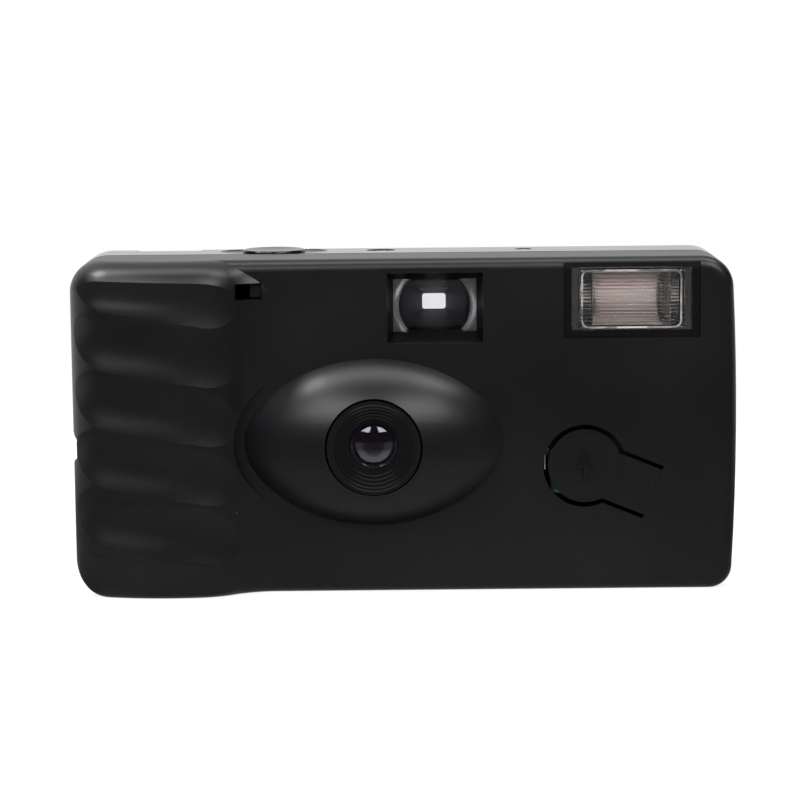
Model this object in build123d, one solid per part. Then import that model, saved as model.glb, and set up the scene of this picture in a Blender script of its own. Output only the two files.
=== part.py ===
from build123d import *
from math import atan2, cos, degrees, pi, radians, sin, sqrt
import os

# A single-use 35 mm film camera with a built-in flash, in millimetres.
# +X is the viewer's right, the lens looks along -Y, +Z is up.
# The origin is the middle of the base, on the surface that the camera stands on.

# Walls and clearances
wall = 1.5
overrun = 5.0
fit_gap = 0.1
piece_gap = 0.3
seat_gap = 0.05
lip_depth = 1.2
lip_skin = 0.8
chamber_gap = 0.35
chamber_wall = 1.0

# Film and its gate
film_thickness = 0.14
film_width = 35.0
gate_width = 36.0
gate_height = 24.0
gate_plate_thickness = 1.4
tunnel_wall = 1.2
tunnel_front_width = 12.0
tunnel_front_height = 10.0
perforation_pitch = 4.75
perforation_width = 2.8
perforation_height = 2.0
perforation_edge = 2.0

# Film cassette
cassette_radius = 12.4
cassette_end_room = 4.0
cassette_height = film_width + 2 * cassette_end_room
cassette_skin = 0.5
cap_height = 3.0
cap_skin = 0.2
cap_radius = cassette_radius + cap_skin
cassette_lip_length = 4.5
cassette_lip_thickness = 1.2
cassette_core_radius = 5.6
cassette_hub_radius = 3.4
cassette_hub_bore = 2.0
cassette_hub_stand = 1.2
wound_film_radius = 7.4

# Film supply
supply_roll_radius = 8.0
supply_core_radius = 4.4
supply_bore_radius = 1.6
supply_flange_stand = 0.4
supply_flange_radius = supply_roll_radius + supply_flange_stand
supply_flange_thickness = 0.8
supply_pin_gap = 0.15
supply_pin_radius = supply_bore_radius - supply_pin_gap
supply_chamber_gap = 0.4
supply_chamber_radius = supply_flange_radius + supply_chamber_gap

# Width: cassette, picture gate and supply roll side by side
left_room = 3.4
cassette_to_gate = 5.7
gate_to_supply = 18.4
right_room = 8.7
film_side_width = left_room + 2 * cap_radius + cassette_to_gate
supply_side_width = gate_to_supply + 2 * supply_chamber_radius + right_room
half_width = (film_side_width + gate_width + supply_side_width) / 2
cassette_x = -half_width + left_room + cap_radius
lens_x = -half_width + film_side_width + gate_width / 2
supply_x = half_width - right_room - supply_chamber_radius

# Depth: back wall, cassette and the grip in front of it
cassette_back_gap = 0.25
grip_room = 2.7
grip_rise = 5.5
ring_stand = 7.5
rear_cover_depth = 13.75
film_back_room = 2.25
back_to_grip = 2 * wall + cassette_back_gap + 2 * cap_radius + chamber_gap + chamber_wall + grip_room
flat_depth = back_to_grip - grip_rise
half_depth = (flat_depth + ring_stand) / 2
face_y = half_depth - flat_depth
seam_y = half_depth - rear_cover_depth
cassette_y = half_depth - wall - cassette_back_gap - cap_radius
film_plane_y = half_depth - wall - film_back_room
supply_y = film_plane_y - supply_roll_radius - fit_gap

# Height: base, cassette, winding wheel and top
cassette_foot_room = 1.0
deck_room = 1.5
deck_thickness = 1.2
wheel_room = 1.3
wheel_thickness = 5.2
top_room = 1.3
cassette_foot_z = wall + lip_skin + cassette_foot_room
film_mid_z = cassette_foot_z + cassette_hub_stand + cassette_height / 2
deck_z = film_mid_z + film_width / 2 + deck_room
wheel_bottom_z = film_mid_z + cassette_height / 2 + cassette_hub_stand + wheel_room
wheel_top_z = wheel_bottom_z + wheel_thickness
body_height = wheel_top_z + top_room + wall

# Outer form
side_bow = 0.9
top_corner = 5.5
bottom_left_corner = 7.0
bottom_right_corner = 4.0
front_edge = 2.0
rear_edge = 3.0

# Grip at the viewer's left
grip_peak_side = 1.0
grip_peak_x = cassette_x + grip_peak_side
grip_sweep_radius = 40.0
grip_corner_radius = 9.0
grip_shoulder_radius = 12.0
grip_hollow_radius = 12.0
grip_turn_angle = 8.0
grip_run_in_angle = 7.0
grip_top_round = 5.5
grip_bottom_round = 2.0
grip_side_depth = 11.75
grip_back_y = face_y + grip_side_depth
groove_pitch = 10.18
groove_width = 9.4
groove_depth = 0.55
groove_stand = 0.4
groove_first_z = 1.9
groove_count = 6
groove_slope = 6.0
groove_start_radius = 11.5
groove_start_turn = 60.0
groove_end_radius = 17.0
groove_end_turn = 28.0

# Lens dome
lens_lift = 0.4
lens_z = film_mid_z + lens_lift
dome_half_width = 22.4
dome_half_height = 14.5
dome_crown = 1.1
dome_rise = ring_stand + dome_crown
crescent_margin = 1.7

# Lens ring and optics
ring_radius = 8.0
ring_gap = 0.35
ring_front_y = face_y - ring_stand
ring_step = 0.6
ring_step_depth = 0.55
ring_steps = 4
ring_throat_radius = 3.9
ring_foot = 0.85
ring_back_y = face_y - ring_foot
ring_wall = 1.2
lens_radius = 4.9
lens_seat_depth = 2.1
lens_edge_y = ring_back_y - lens_seat_depth
lens_edge_thickness = 1.0
lens_front_radius = 7.6
lens_back_radius = 9.0
lens_back_hollow = 0.6
baffle_radius = 7.4
baffle_thickness = 0.6
stop_radius = 1.4

# Shutter
cover_half_width = 17.5
cover_half_height = 10.5
cover_sink = 0.65
cover_y = face_y + cover_sink
cover_thickness = 0.8
cover_hole = 3.2
blade_front_gap = 0.7
blade_back_gap = 0.2
blade_thickness = 0.3
blade_y = cover_y + cover_thickness + blade_front_gap
blade_eye = 2.2
blade_pin = 0.8
blade_pivot_side = 7.8
blade_pivot_lift = 5.6
blade_pivot_x = lens_x - blade_pivot_side
blade_pivot_z = lens_z + blade_pivot_lift
blade_head = 3.4
blade_tab_stand = 2.9
blade_tab_z = deck_z + blade_tab_stand
blade_tab_width = 2.4
wall_y = blade_y + blade_thickness + blade_back_gap
wall_thickness = 1.2
wall_half_width = 17.0
wall_drop = 10.8
wall_lift = 14.6

# Film sprocket
sprocket_from_gate = 4.4
sprocket_x = lens_x - gate_width / 2 + sprocket_from_gate
sprocket_teeth = 8
sprocket_height = 2.6
sprocket_tooth_length = 1.3
sprocket_tooth_width = 1.5
sprocket_shaft_radius = 1.5
sprocket_shaft_stand = 8.2
sprocket_top_z = deck_z + sprocket_shaft_stand
sprocket_foot = 0.5
sprocket_cam_radius = 3.6
sprocket_cam_thickness = 1.6
sprocket_cam_notch = 1.5

# Thumb wheel
wheel_radius = 13.6
wheel_teeth = 36
wheel_tooth_depth = 0.8
wheel_hub_radius = 4.2
wheel_bore_radius = 1.0
wheel_web = 1.4
wheel_rim = 2.2
notch_half_width = 5.8
notch_corner = 1.6
notch_drop = 1.1
notch_floor_z = wheel_bottom_z - notch_drop
notch_reach = 5.0

# Shutter button
button_radius = 5.5
button_from_wheel = 5.1
button_from_back = 7.55
button_x = cassette_x + wheel_radius + button_from_wheel
button_y = half_depth - button_from_back
button_stand = 0.4
button_top_z = body_height + button_stand
button_height = 2.2
button_dish = 0.4
button_stem_radius = 1.4
button_gap = 0.35
button_well_depth = 0.7
button_well_width = 19.0

# Striker, metering lever and springs
striker_side = 6.8
striker_x = lens_x - striker_side
striker_reach = 14.0
striker_pass = 0.1
striker_tip_y = blade_y - striker_pass
striker_width = 1.8
striker_tip_width = 1.2
striker_thickness = 1.2
striker_hub_radius = 2.0
striker_start = -15.0
pin_radius = 0.9
pin_height = 3.6
lever_from_button = 1.3
lever_before_button = 11.2
lever_stand = 3.7
lever_x = button_x + lever_from_button
lever_y = button_y - lever_before_button
lever_z = deck_z + lever_stand
lever_thickness = 1.0
lever_button_reach = 9.4
lever_button_angle = 98.0
lever_striker_reach = 6.6
lever_striker_angle = -16.0
lever_width = 2.2
lever_tip_width = 1.4
stem_room = 0.9
button_stem_foot_z = lever_z + lever_thickness + stem_room
coil_radius = 1.7
coil_wire = 0.35
coil_pitch = 0.62
coil_turns = 3.0
hairpin_side = 4.2
hairpin_lift = 2.6
hairpin_x = blade_pivot_x - hairpin_side
hairpin_z = blade_pivot_z + hairpin_lift
hairpin_width = 0.3
hairpin_length = 6.0
hairpin_angle = 12.0

# Frame counter
dial_side = 3.2
dial_from_back = 12.05
dial_x = lens_x - dial_side
dial_y = half_depth - dial_from_back
dial_radius = 8.9
dial_room = 1.0
dial_bottom_z = body_height - wall - dial_room
dial_thickness = 0.6
dial_shaft_radius = 1.2
dial_teeth = 25
dial_tooth_depth = 0.5
counter_window_side = 4.6
counter_window_back = 4.7
counter_window_x = dial_x + counter_window_side
counter_window_y = dial_y + counter_window_back
counter_window_half_width = 2.6
counter_window_half_depth = 2.1

# Viewfinder
finder_side = 10.7
finder_from_top = 8.5
finder_x = lens_x + finder_side
finder_z = body_height - finder_from_top
finder_mouth_width = 16.5
finder_mouth_height = 12.1
finder_depth = 3.8
finder_window_width = 14.4
finder_window_height = 9.4
finder_wall = 0.8
finder_lens_thickness = 2.4
finder_lens_curve_radius = 6.5
finder_lens_hollow = 1.5
finder_lens_margin = 0.7
eyepiece_width = 6.9
eyepiece_height = 4.6
eyepiece_thickness = 1.6
eyepiece_bulge_radius = 9.0
eyepiece_margin = 0.8
eyepiece_recess = 1.0

# Flash
flash_block_width = 18.15
flash_block_height = 9.9
flash_block_stand = 0.2
flash_flange_side = 1.325
flash_flange_edge = 0.5
flash_flange_sink = 0.5
flash_opening_width = flash_block_width + 2 * flash_flange_side
flash_opening_height = flash_block_height + 2 * flash_flange_edge
flash_panel_side = 1.35
flash_panel_edge = 1.05
flash_panel_width = flash_opening_width + 2 * flash_panel_side
flash_panel_height = flash_opening_height + 2 * flash_panel_edge
flash_panel_drop = 0.2
flash_panel_depth = 0.35
flash_side_room = 6.45
flash_top_room = 0.9
flash_x = half_width - flash_side_room - flash_panel_width / 2
flash_z = body_height - flash_top_room - flash_panel_height / 2 + flash_panel_drop
flash_rim = 0.3
flash_rim_thickness = 0.7
flash_rim_drop = 1.0
flute_count = 15
flute_depth = 0.1
reflector_width = 13.6
reflector_back_width = 12.0
reflector_mouth = 9.4
reflector_depth = 7.6
reflector_skin = 0.5
tube_radius = 1.5
tube_length = 17.0
tube_back = 4.9
tube_cap_length = 1.8

# Battery
battery_radius = 7.2
battery_length = 49.2
battery_front_gap = 0.25
battery_foot_gap = 0.3
battery_side_room = 3.35
battery_left_x = cassette_x + cap_radius + chamber_gap + chamber_wall + battery_side_room
battery_y = face_y + wall + battery_radius + battery_front_gap
battery_z = wall + battery_radius + battery_foot_gap
battery_nub_radius = 2.7
battery_nub_length = 1.2
contact_thickness = 0.3
contact_width = 9.0
contact_height = 9.0

# Chassis deck, shelf and battery walls
deck_side_room = 0.55
deck_end_room = 0.8
deck_left_x = cassette_x + cap_radius + chamber_gap + chamber_wall + deck_side_room
deck_right_x = supply_x - supply_chamber_radius - chamber_wall - deck_end_room
deck_front_room = 3.75
deck_front_y = face_y + deck_front_room
shelf_front_room = 3.55
shelf_front_y = face_y + shelf_front_room
shelf_thickness = 1.0
post_thickness = 1.2
post_front_room = 4.6
post_back_room = 7.3
post_foot_room = 1.8
post_front_y = battery_y - post_front_room
post_back_y = battery_y + post_back_room
post_low_z = battery_z - post_foot_room
post_high_z = battery_z + battery_radius

# Flash charging button
press_from_side = 26.3
press_drop = 4.5
press_x = half_width - press_from_side
press_z = lens_z - press_drop
press_radius = 6.35
press_groove = 0.85
press_arm_half_width = 4.2
press_slot = 0.73
press_reach = 12.7
press_angle = -22.0
press_root_gap = 0.02
press_dish = 0.35
press_dish_radius = 5.4
press_post_radius = 1.6
press_post_length = 0.5
press_leaf_gap = 1.3

# Flash electronics
board_left_side = 5.8
board_right_side = 20.3
board_foot_gap = 0.4
board_below_flash = 8.2
board_room = 3.65
board_left_x = press_x - board_left_side
board_right_x = press_x + board_right_side
board_bottom_z = battery_z + battery_radius + board_foot_gap
board_top_z = flash_z - board_below_flash
board_y = face_y + board_room
board_thickness = 1.2
capacitor_radius = 5.1
capacitor_side_gap = 0.9
capacitor_front_gap = 1.75
capacitor_foot_gap = 1.4
capacitor_x = board_left_x - capacitor_radius - capacitor_side_gap
capacitor_y = face_y + wall + capacitor_radius + capacitor_front_gap
capacitor_bottom_z = battery_z + battery_radius + capacitor_foot_gap
capacitor_length = 26.0
capacitor_groove = 0.5
shelf_left_side = 6.9
shelf_left_x = capacitor_x - shelf_left_side
shelf_right_x = board_left_x - fit_gap - piece_gap
transformer_x = capacitor_x
transformer_before_film = 4.9
transformer_y = film_plane_y - transformer_before_film
transformer_size = 6.2
transformer_height = 11.0
lamp_side = 2.1
lamp_from_back = 7.75
lamp_x = capacitor_x + lamp_side
lamp_y = half_depth - lamp_from_back
lamp_radius = 2.1
lamp_length = 6.0
pipe_radius = 1.4
pipe_flange_radius = 2.2
pipe_flange_thickness = 0.8
pipe_length = 4.6
trigger_coil_radius = 2.2
trigger_coil_length = 7.0

# Film door under the cassette
door_side_inset = 0.6
door_front_inset = 1.2
door_back_inset = 1.1
door_left_x = cassette_x - cap_radius + door_side_inset
door_right_x = cassette_x + cap_radius - door_side_inset
door_front_y = cassette_y - cap_radius + door_front_inset
door_back_y = cassette_y + cap_radius - door_back_inset
door_gap = 0.25
door_sink = 0.2
door_corner = 3.0

# Latches and notch
latch_side = 21.2
latch_from_top = 5.3
latch_x = lens_x - latch_side
latch_z = body_height - latch_from_top
latch_width = 4.5
latch_height = 2.8
hook_width = 2.0
hook_height = 2.2
pry_low_z = 21.4
pry_high_z = 33.0
pry_deep_z = 25.6
pry_reach = 13.0
pry_tail_reach = 6.0
pry_reach_y = seam_y - pry_reach
pry_tail_y = seam_y - pry_tail_reach
pry_end_height = 3.0
pry_tail_z = 9.0


# Small helpers

def span_box(x0, x1, y0, y1, z0, z1):
    """A box between two corners."""
    middle = Pos((x0 + x1) / 2, (y0 + y1) / 2, (z0 + z1) / 2)
    return middle * Box(x1 - x0, y1 - y0, z1 - z0)


def rod_x(y, z, radius, x0, x1):
    """A round rod along X."""
    return Pos((x0 + x1) / 2, y, z) * Rot(0, 90, 0) * Cylinder(radius, x1 - x0)


def rod_y(x, z, radius, y0, y1):
    """A round rod along Y."""
    return Pos(x, (y0 + y1) / 2, z) * Rot(90, 0, 0) * Cylinder(radius, y1 - y0)


def rod_z(x, y, radius, z0, z1):
    """A round rod along Z."""
    return Pos(x, y, (z0 + z1) / 2) * Cylinder(radius, z1 - z0)


def front_plane(y):
    """The plane that faces the viewer at depth y, with X to the right and Z up."""
    return Plane(origin=(0, y, 0), x_dir=(1, 0, 0), z_dir=(0, -1, 0))


def front_prism(sketch, y0, y1):
    """A sketch seen from the front, drawn in X and Z, between two depths."""
    return extrude(front_plane(y1) * sketch, amount=y1 - y0)


def save(piece, name):
    """Write one node to its own file."""
    export_step(piece, "parts/" + name + ".step")


# The outer form, also used smaller for the inside of the walls

def front_outline(inset):
    """The camera seen from the front, with a bowed right side."""
    straight_x = half_width - side_bow
    sides = [
        Line((-half_width, body_height), (-half_width, 0)),
        Line((-half_width, 0), (straight_x, 0)),
        ThreePointArc((straight_x, 0), (half_width, body_height / 2), (straight_x, body_height)),
        Line((straight_x, body_height), (-half_width, body_height)),
    ]
    face = make_face(Curve() + sides)
    corners = face.vertices().sort_by(Axis.Y)
    low = corners[:2].sort_by(Axis.X)
    high = corners[2:]
    face = fillet(high, top_corner)
    low_left = face.vertices().sort_by_distance((-half_width, 0))[0]
    face = fillet(low_left, bottom_left_corner)
    low_right = face.vertices().sort_by_distance((straight_x, 0))[0]
    face = fillet(low_right, bottom_right_corner)
    if inset:
        face = offset(face, amount=-inset)
    return face


def body_block(inset):
    """The plain body between its flat front and its back, with rounded edges."""
    front_y = face_y + inset
    back_y = half_depth - inset
    block = front_prism(front_outline(inset), front_y, back_y)
    faces = block.faces().sort_by(Axis.Y)
    block = fillet(faces[0].edges(), inner_round(front_edge, inset))
    faces = block.faces().sort_by(Axis.Y)
    block = fillet(faces[-1].edges(), rear_edge - inset)
    corner_y = grip_centres()[1][1]
    return block - span_box(
        -half_width - overrun,
        grip_peak_x,
        -half_depth,
        (corner_y + grip_back_y) / 2,
        -overrun,
        body_height + overrun,
    )


def grip_centres():
    """The centres of the four arcs of the grip, seen from above."""
    peak_y = face_y - grip_rise
    sweep = (grip_peak_x, peak_y + grip_sweep_radius)
    corner_x = -half_width + grip_corner_radius
    reach = grip_sweep_radius - grip_corner_radius
    corner_y = sweep[1] - sqrt(reach**2 - (corner_x - sweep[0]) ** 2)
    turn = radians(grip_turn_angle)
    reach = grip_sweep_radius - grip_shoulder_radius
    shoulder = (sweep[0] + reach * sin(turn), sweep[1] - reach * cos(turn))
    hollow_y = face_y - grip_hollow_radius * cos(radians(grip_run_in_angle))
    reach = grip_shoulder_radius + grip_hollow_radius
    hollow_x = shoulder[0] + sqrt(reach**2 - (hollow_y - shoulder[1]) ** 2)
    return sweep, (corner_x, corner_y), shoulder, (hollow_x, hollow_y)


def grip_front_arcs(inset):
    """The arcs of the grip's front from its left side to the flat front."""
    sweep, corner, shoulder, hollow = grip_centres()
    corner_end = degrees(atan2(corner[1] - sweep[1], corner[0] - sweep[0])) % 360
    sweep_end = degrees(atan2(shoulder[1] - sweep[1], shoulder[0] - sweep[0])) % 360
    shoulder_end = degrees(atan2(hollow[1] - shoulder[1], hollow[0] - shoulder[0])) % 360
    hollow_start = shoulder_end - 180
    return [
        CenterArc(corner, grip_corner_radius - inset, 180, corner_end - 180),
        CenterArc(sweep, grip_sweep_radius - inset, corner_end, sweep_end - corner_end),
        CenterArc(shoulder, grip_shoulder_radius - inset, sweep_end, shoulder_end - sweep_end),
        CenterArc(hollow, grip_hollow_radius + inset, hollow_start, 90 - hollow_start),
    ]


def grip_solid(inset):
    """The grip's bulge with a soft top, cut to the body's rounded lower corner."""
    arcs = grip_front_arcs(inset)
    left = arcs[0] @ 0
    right = arcs[3] @ 1
    outline = Curve() + arcs + [
        Line((left.X, grip_back_y), (left.X, left.Y)),
        Line((right.X, right.Y), (right.X, grip_back_y)),
        Line((right.X, grip_back_y), (left.X, grip_back_y)),
    ]
    base = Plane(origin=(0, 0, inset)) * make_face(outline)
    grip = extrude(base, amount=body_height - 2 * inset)
    top = grip.faces().sort_by(Axis.Z)[-1].edges()
    grip = fillet(grip_rim(top, right.X - inset), grip_top_round - inset)
    base_edges = grip.faces().sort_by(Axis.Z)[0].edges()
    grip = fillet(grip_rim(base_edges, right.X - inset), inner_round(grip_bottom_round, inset))
    return grip - lower_corner_cut(inset)


def grip_rim(edges, right_x):
    """The edges round the grip's front and left side."""
    front_y = grip_back_y - overrun / 2
    rim = []
    for edge in edges:
        middle = edge @ (1 / 2)
        if middle.Y < front_y and middle.X < right_x - seat_gap:
            rim.append(edge)
    return rim


def inner_round(radius, inset):
    """The radius of an edge of the form, kept workable on the inside of the wall."""
    return radius - inset + lip_skin if inset else radius


def lower_corner_cut(inset):
    """What the body's rounded lower left corner leaves off the grip."""
    radius = bottom_left_corner - inset
    centre_x = -half_width + bottom_left_corner
    centre_z = bottom_left_corner
    square = span_box(
        -half_width - overrun, centre_x, -half_depth - overrun, half_depth, -overrun, centre_z
    )
    return square - rod_y(centre_x, centre_z, radius, -half_depth - overrun, half_depth)


def lens_dome(inset):
    """The oval dome round the lens: a wide arc turned about a level axis inside the body."""
    turn_radius = (dome_half_height**2 + dome_rise**2) / (2 * dome_rise)
    axis_depth = turn_radius - dome_rise
    side_radius = (dome_half_width**2 + dome_rise**2) / (2 * dome_rise)
    arc_radius = side_radius - inset
    arc_centre = turn_radius - side_radius
    low = axis_depth / 2
    half = sqrt(arc_radius**2 - (low - arc_centre) ** 2)
    profile = make_face(
        Curve()
        + [
            ThreePointArc((-half, low), (0, arc_centre + arc_radius), (half, low)),
            Line((half, low), (-half, low)),
        ]
    )
    axis_y = face_y + axis_depth
    plane = Plane(origin=(lens_x, axis_y, lens_z), x_dir=(1, 0, 0), z_dir=(0, 1, 0))
    return revolve(plane * profile, axis=Axis((lens_x, axis_y, lens_z), (1, 0, 0)))


def inner_centre(centre, reach, angle):
    """A point at a distance and an angle from a centre, seen from above."""
    return (centre[0] + reach * cos(radians(angle)), centre[1] + reach * sin(radians(angle)))


def groove_cutters():
    """The finger grooves, swept round the grip and sloping down to the right."""
    sweep_arc = grip_front_arcs(0)[1]
    peak, corner = grip_centres()[:2]
    start_angle = degrees(atan2(corner[1] - peak[1], corner[0] - peak[0])) % 360
    start_centre = inner_centre(peak, grip_sweep_radius - groove_start_radius, start_angle)
    end_angle = 270 + grip_turn_angle
    end_centre = inner_centre(peak, grip_sweep_radius - groove_end_radius, end_angle)
    lead = CenterArc(
        start_centre, groove_start_radius, start_angle - groove_start_turn, groove_start_turn
    )
    fade = CenterArc(end_centre, groove_end_radius, end_angle, groove_end_turn)
    path = Wire([lead, sweep_arc, fade])
    start = lead @ 0
    heading = lead % 0
    radius = ((groove_width / 2) ** 2 + groove_depth**2) / (2 * groove_depth)
    half = sqrt(radius**2 - (radius - groove_depth - groove_stand) ** 2)
    side = Plane(origin=start, x_dir=(heading.Y, -heading.X, 0), z_dir=heading)
    bow = ThreePointArc((groove_stand, -half), (-groove_depth, 0), (groove_stand, half))
    section = side * make_face(Curve() + [bow, Line((groove_stand, half), (groove_stand, -half))])
    groove = sweep(section, path=path)
    tilt = Rot(0, groove_slope, 0) * Pos(-grip_peak_x, 0, 0)
    cutters = []
    for index in range(groove_count):
        height = groove_first_z + index * groove_pitch
        cutters.append(Pos(grip_peak_x, 0, height) * tilt * groove)
    return cutters


# Shells

def rectangle_funnel(x, z, front, back, y0, y1):
    """A solid between a rectangle at depth y0 and another at depth y1."""
    near = front_plane(y0) * Pos(x, z) * Rectangle(*front)
    far = front_plane(y1) * Pos(x, z) * Rectangle(*back)
    return loft([near.face(), far.face()])


def press_outline(disc_gap, arm_gap, root_gap):
    """The flash button's disc and arm, seen from the front, grown by its gaps."""
    disc = Circle(press_radius + disc_gap)
    half = press_arm_half_width + arm_gap
    length = press_reach + root_gap
    arm = Pos(length / 2, 0) * Rectangle(length, 2 * half)
    return Pos(press_x, press_z) * Rot(0, 0, press_angle) * (disc + arm)


def door_outline(grow):
    """The film door seen from below, grown by a gap."""
    width = door_right_x - door_left_x + 2 * grow
    depth = door_back_y - door_front_y + 2 * grow
    middle = Pos((door_left_x + door_right_x) / 2, (door_front_y + door_back_y) / 2)
    return middle * RectangleRounded(width, depth, door_corner + grow)


def shell_blank():
    """Both shells as one hollow body, before it is split and cut."""
    body = body_block(0) + grip_solid(0)
    for groove in groove_cutters():
        body -= groove
    oval = Ellipse(dome_half_width + crescent_margin, dome_half_height + crescent_margin)
    body -= front_prism(Pos(lens_x, lens_z) * oval, -half_depth - overrun, face_y)
    body += lens_dome(0)
    body -= body_block(wall)
    liner = Ellipse(dome_half_width + crescent_margin + wall, dome_half_height + crescent_margin + wall)
    liner = front_prism(Pos(lens_x, lens_z) * liner, -half_depth - overrun, face_y + wall)
    body -= grip_solid(wall) - liner
    body -= lens_dome(wall)
    return body


def seam_half(y0, y1):
    """The space on one side of the seam."""
    side = half_width + overrun
    return span_box(-side, side, y0, y1, -overrun, body_height + overrun)


def front_shell(blank):
    """The front cover with its grip, dome, windows and cut-outs."""
    shell = blank & seam_half(-half_depth - overrun, seam_y)
    lip_space = front_prism(front_outline(lip_skin), seam_y - lip_depth - piece_gap, seam_y)
    shell -= lip_space
    funnel_back = face_y + finder_depth
    mouth = (finder_mouth_width, finder_mouth_height)
    window = (finder_window_width, finder_window_height)
    wide_mouth = (finder_mouth_width + 2 * finder_wall, finder_mouth_height + 2 * finder_wall)
    wide_window = (finder_window_width + 2 * finder_wall, finder_window_height + 2 * finder_wall)
    shell += rectangle_funnel(finder_x, finder_z, wide_mouth, wide_window, face_y, funnel_back)
    shell -= rectangle_funnel(finder_x, finder_z, mouth, window, face_y, funnel_back)
    panel = Pos(flash_x, flash_z - flash_panel_drop) * Rectangle(flash_panel_width, flash_panel_height)
    shell -= front_prism(panel, face_y - overrun, face_y + flash_panel_depth)
    opening = Pos(flash_x, flash_z) * Rectangle(flash_opening_width, flash_opening_height)
    shell -= front_prism(opening, face_y - overrun, face_y + 2 * wall)
    shell -= rod_y(lens_x, lens_z, ring_radius + ring_gap, -half_depth - overrun, face_y + wall)
    latch = Pos(latch_x, latch_z) * Rectangle(latch_width, latch_height)
    shell -= front_prism(latch, -half_depth, face_y + 2 * wall)
    slot = press_outline(press_groove, press_slot, press_root_gap)
    shell -= front_prism(slot, face_y - overrun, face_y + 2 * wall)
    shell -= pry_notch()
    shell -= extrude(door_outline(door_gap), amount=2 * wall)
    return shell


def pry_notch():
    """The notch in the side edge of the front shell for prying the shells apart."""
    corners = [
        (seam_y, pry_high_z),
        (pry_reach_y, pry_deep_z + pry_end_height / 2),
        (pry_reach_y, pry_deep_z - pry_end_height / 2),
        (pry_tail_y, pry_low_z),
        (pry_tail_y, pry_tail_z),
        (seam_y, pry_tail_z),
    ]
    outline = make_face(Polyline(*corners, close=True))
    side = Plane(origin=(-half_width - overrun, 0, 0), x_dir=(0, 1, 0), z_dir=(1, 0, 0))
    return extrude(side * outline, amount=overrun + 2 * wall)


def pry_tongue():
    """The rear shell's thin tongue that lies in the notch."""
    corners = [
        (seam_y, pry_high_z - 2 * piece_gap),
        (pry_tail_y + piece_gap, pry_deep_z),
        (pry_tail_y + piece_gap, pry_tail_z + piece_gap),
        (seam_y, pry_tail_z + piece_gap),
    ]
    outline = make_face(Polyline(*corners, close=True))
    side = Plane(origin=(-half_width + fit_gap, 0, 0), x_dir=(0, 1, 0), z_dir=(1, 0, 0))
    return extrude(side * outline, amount=lip_skin)


def thumb_notch():
    """The cut in the top rear edge through which the thumb turns the wheel."""
    plan = RectangleRounded(2 * notch_half_width, 2 * notch_reach, notch_corner)
    place = Plane(origin=(cassette_x, half_depth, notch_floor_z))
    return extrude(place * plan, amount=body_height)


def rear_shell(blank):
    """The back cover with its thumb notch, top openings and eyepiece hole."""
    shell = blank & seam_half(seam_y, half_depth + overrun)
    lip = front_outline(lip_skin + seat_gap)
    lip -= front_outline(wall)
    lip_ring = front_prism(lip, seam_y - lip_depth, seam_y)
    lip_ring -= pry_clearance()
    shell += lip_ring
    shell += pry_tongue()
    shell -= thumb_notch()
    well = scale(Sphere(1), by=(button_well_width / 2, button_y - seam_y, button_well_depth))
    shell -= Pos(button_x, button_y, body_height) * well
    shell -= rod_z(button_x, button_y, button_radius + button_gap, body_height - 2 * wall, body_height)
    window = Plane(origin=(counter_window_x, counter_window_y, body_height - 2 * wall))
    window *= Ellipse(counter_window_half_width, counter_window_half_depth)
    shell -= extrude(window, amount=overrun)
    shell -= rod_z(lamp_x, lamp_y, pipe_radius + seat_gap, body_height - 2 * wall, body_height)
    eyepiece = Pos(finder_x, finder_z) * RectangleRounded(eyepiece_width, eyepiece_height, eyepiece_margin)
    shell -= front_prism(eyepiece, half_depth - 2 * wall, half_depth)
    shell += pressure_rails()
    shell -= extrude(door_outline(door_gap), amount=2 * wall)
    return shell


def pry_clearance():
    """The space round the notch that the rear shell's lip leaves free."""
    return span_box(
        -half_width - overrun,
        -half_width + 2 * wall,
        pry_reach_y,
        seam_y,
        pry_tail_z - piece_gap,
        pry_high_z + piece_gap,
    )


def pressure_rails():
    """Two ribs on the back that keep the film flat on its gate."""
    front = film_plane_y + film_thickness + piece_gap
    back = half_depth - wall
    rails = []
    for sign in (-1, 1):
        middle = film_mid_z + sign * (gate_height / 2 + perforation_edge + perforation_height)
        rails.append(
            span_box(
                sprocket_x + 3 * wall,
                lens_x + gate_width / 2,
                front,
                back,
                middle - wall / 2,
                middle + wall / 2,
            )
        )
    return rails


def film_door():
    """The flap in the base under the cassette."""
    plate = Plane(origin=(0, 0, door_sink)) * door_outline(0)
    door = extrude(plate, amount=wall - door_sink)
    rib_y = (door_front_y + door_back_y) / 2
    rib = span_box(
        door_left_x + door_corner,
        door_right_x - door_corner,
        rib_y - wall / 2,
        rib_y + wall / 2,
        wall,
        wall + lip_skin,
    )
    return door + rib


# Lens

def lens_ring():
    """The stepped ring that funnels down to the lens."""
    outer_y = ring_front_y
    step_width = ring_step
    points = [(ring_radius, ring_back_y), (ring_radius, outer_y)]
    radius = ring_radius - ring_wall
    depth = outer_y
    points.append((radius, depth))
    for _ in range(ring_steps):
        depth += ring_step_depth
        points.append((radius, depth))
        radius -= step_width
        points.append((radius, depth))
    points.append((ring_throat_radius, lens_edge_y - lens_edge_thickness - fit_gap))
    points.append((ring_throat_radius, lens_edge_y - lens_edge_thickness))
    points.append((lens_radius + fit_gap, lens_edge_y - lens_edge_thickness))
    points.append((lens_radius + fit_gap, ring_back_y))
    profile = make_face(Polyline(*points, close=True))
    return lens_turned(profile)


def lens_turned(profile):
    """Turn a profile of radius and depth round the lens axis."""
    plane = Plane(origin=(lens_x, 0, lens_z), x_dir=(1, 0, 0), z_dir=(0, 0, 1))
    axis = Axis((lens_x, 0, lens_z), (0, 1, 0))
    return revolve(plane * profile, axis=axis)


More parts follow.
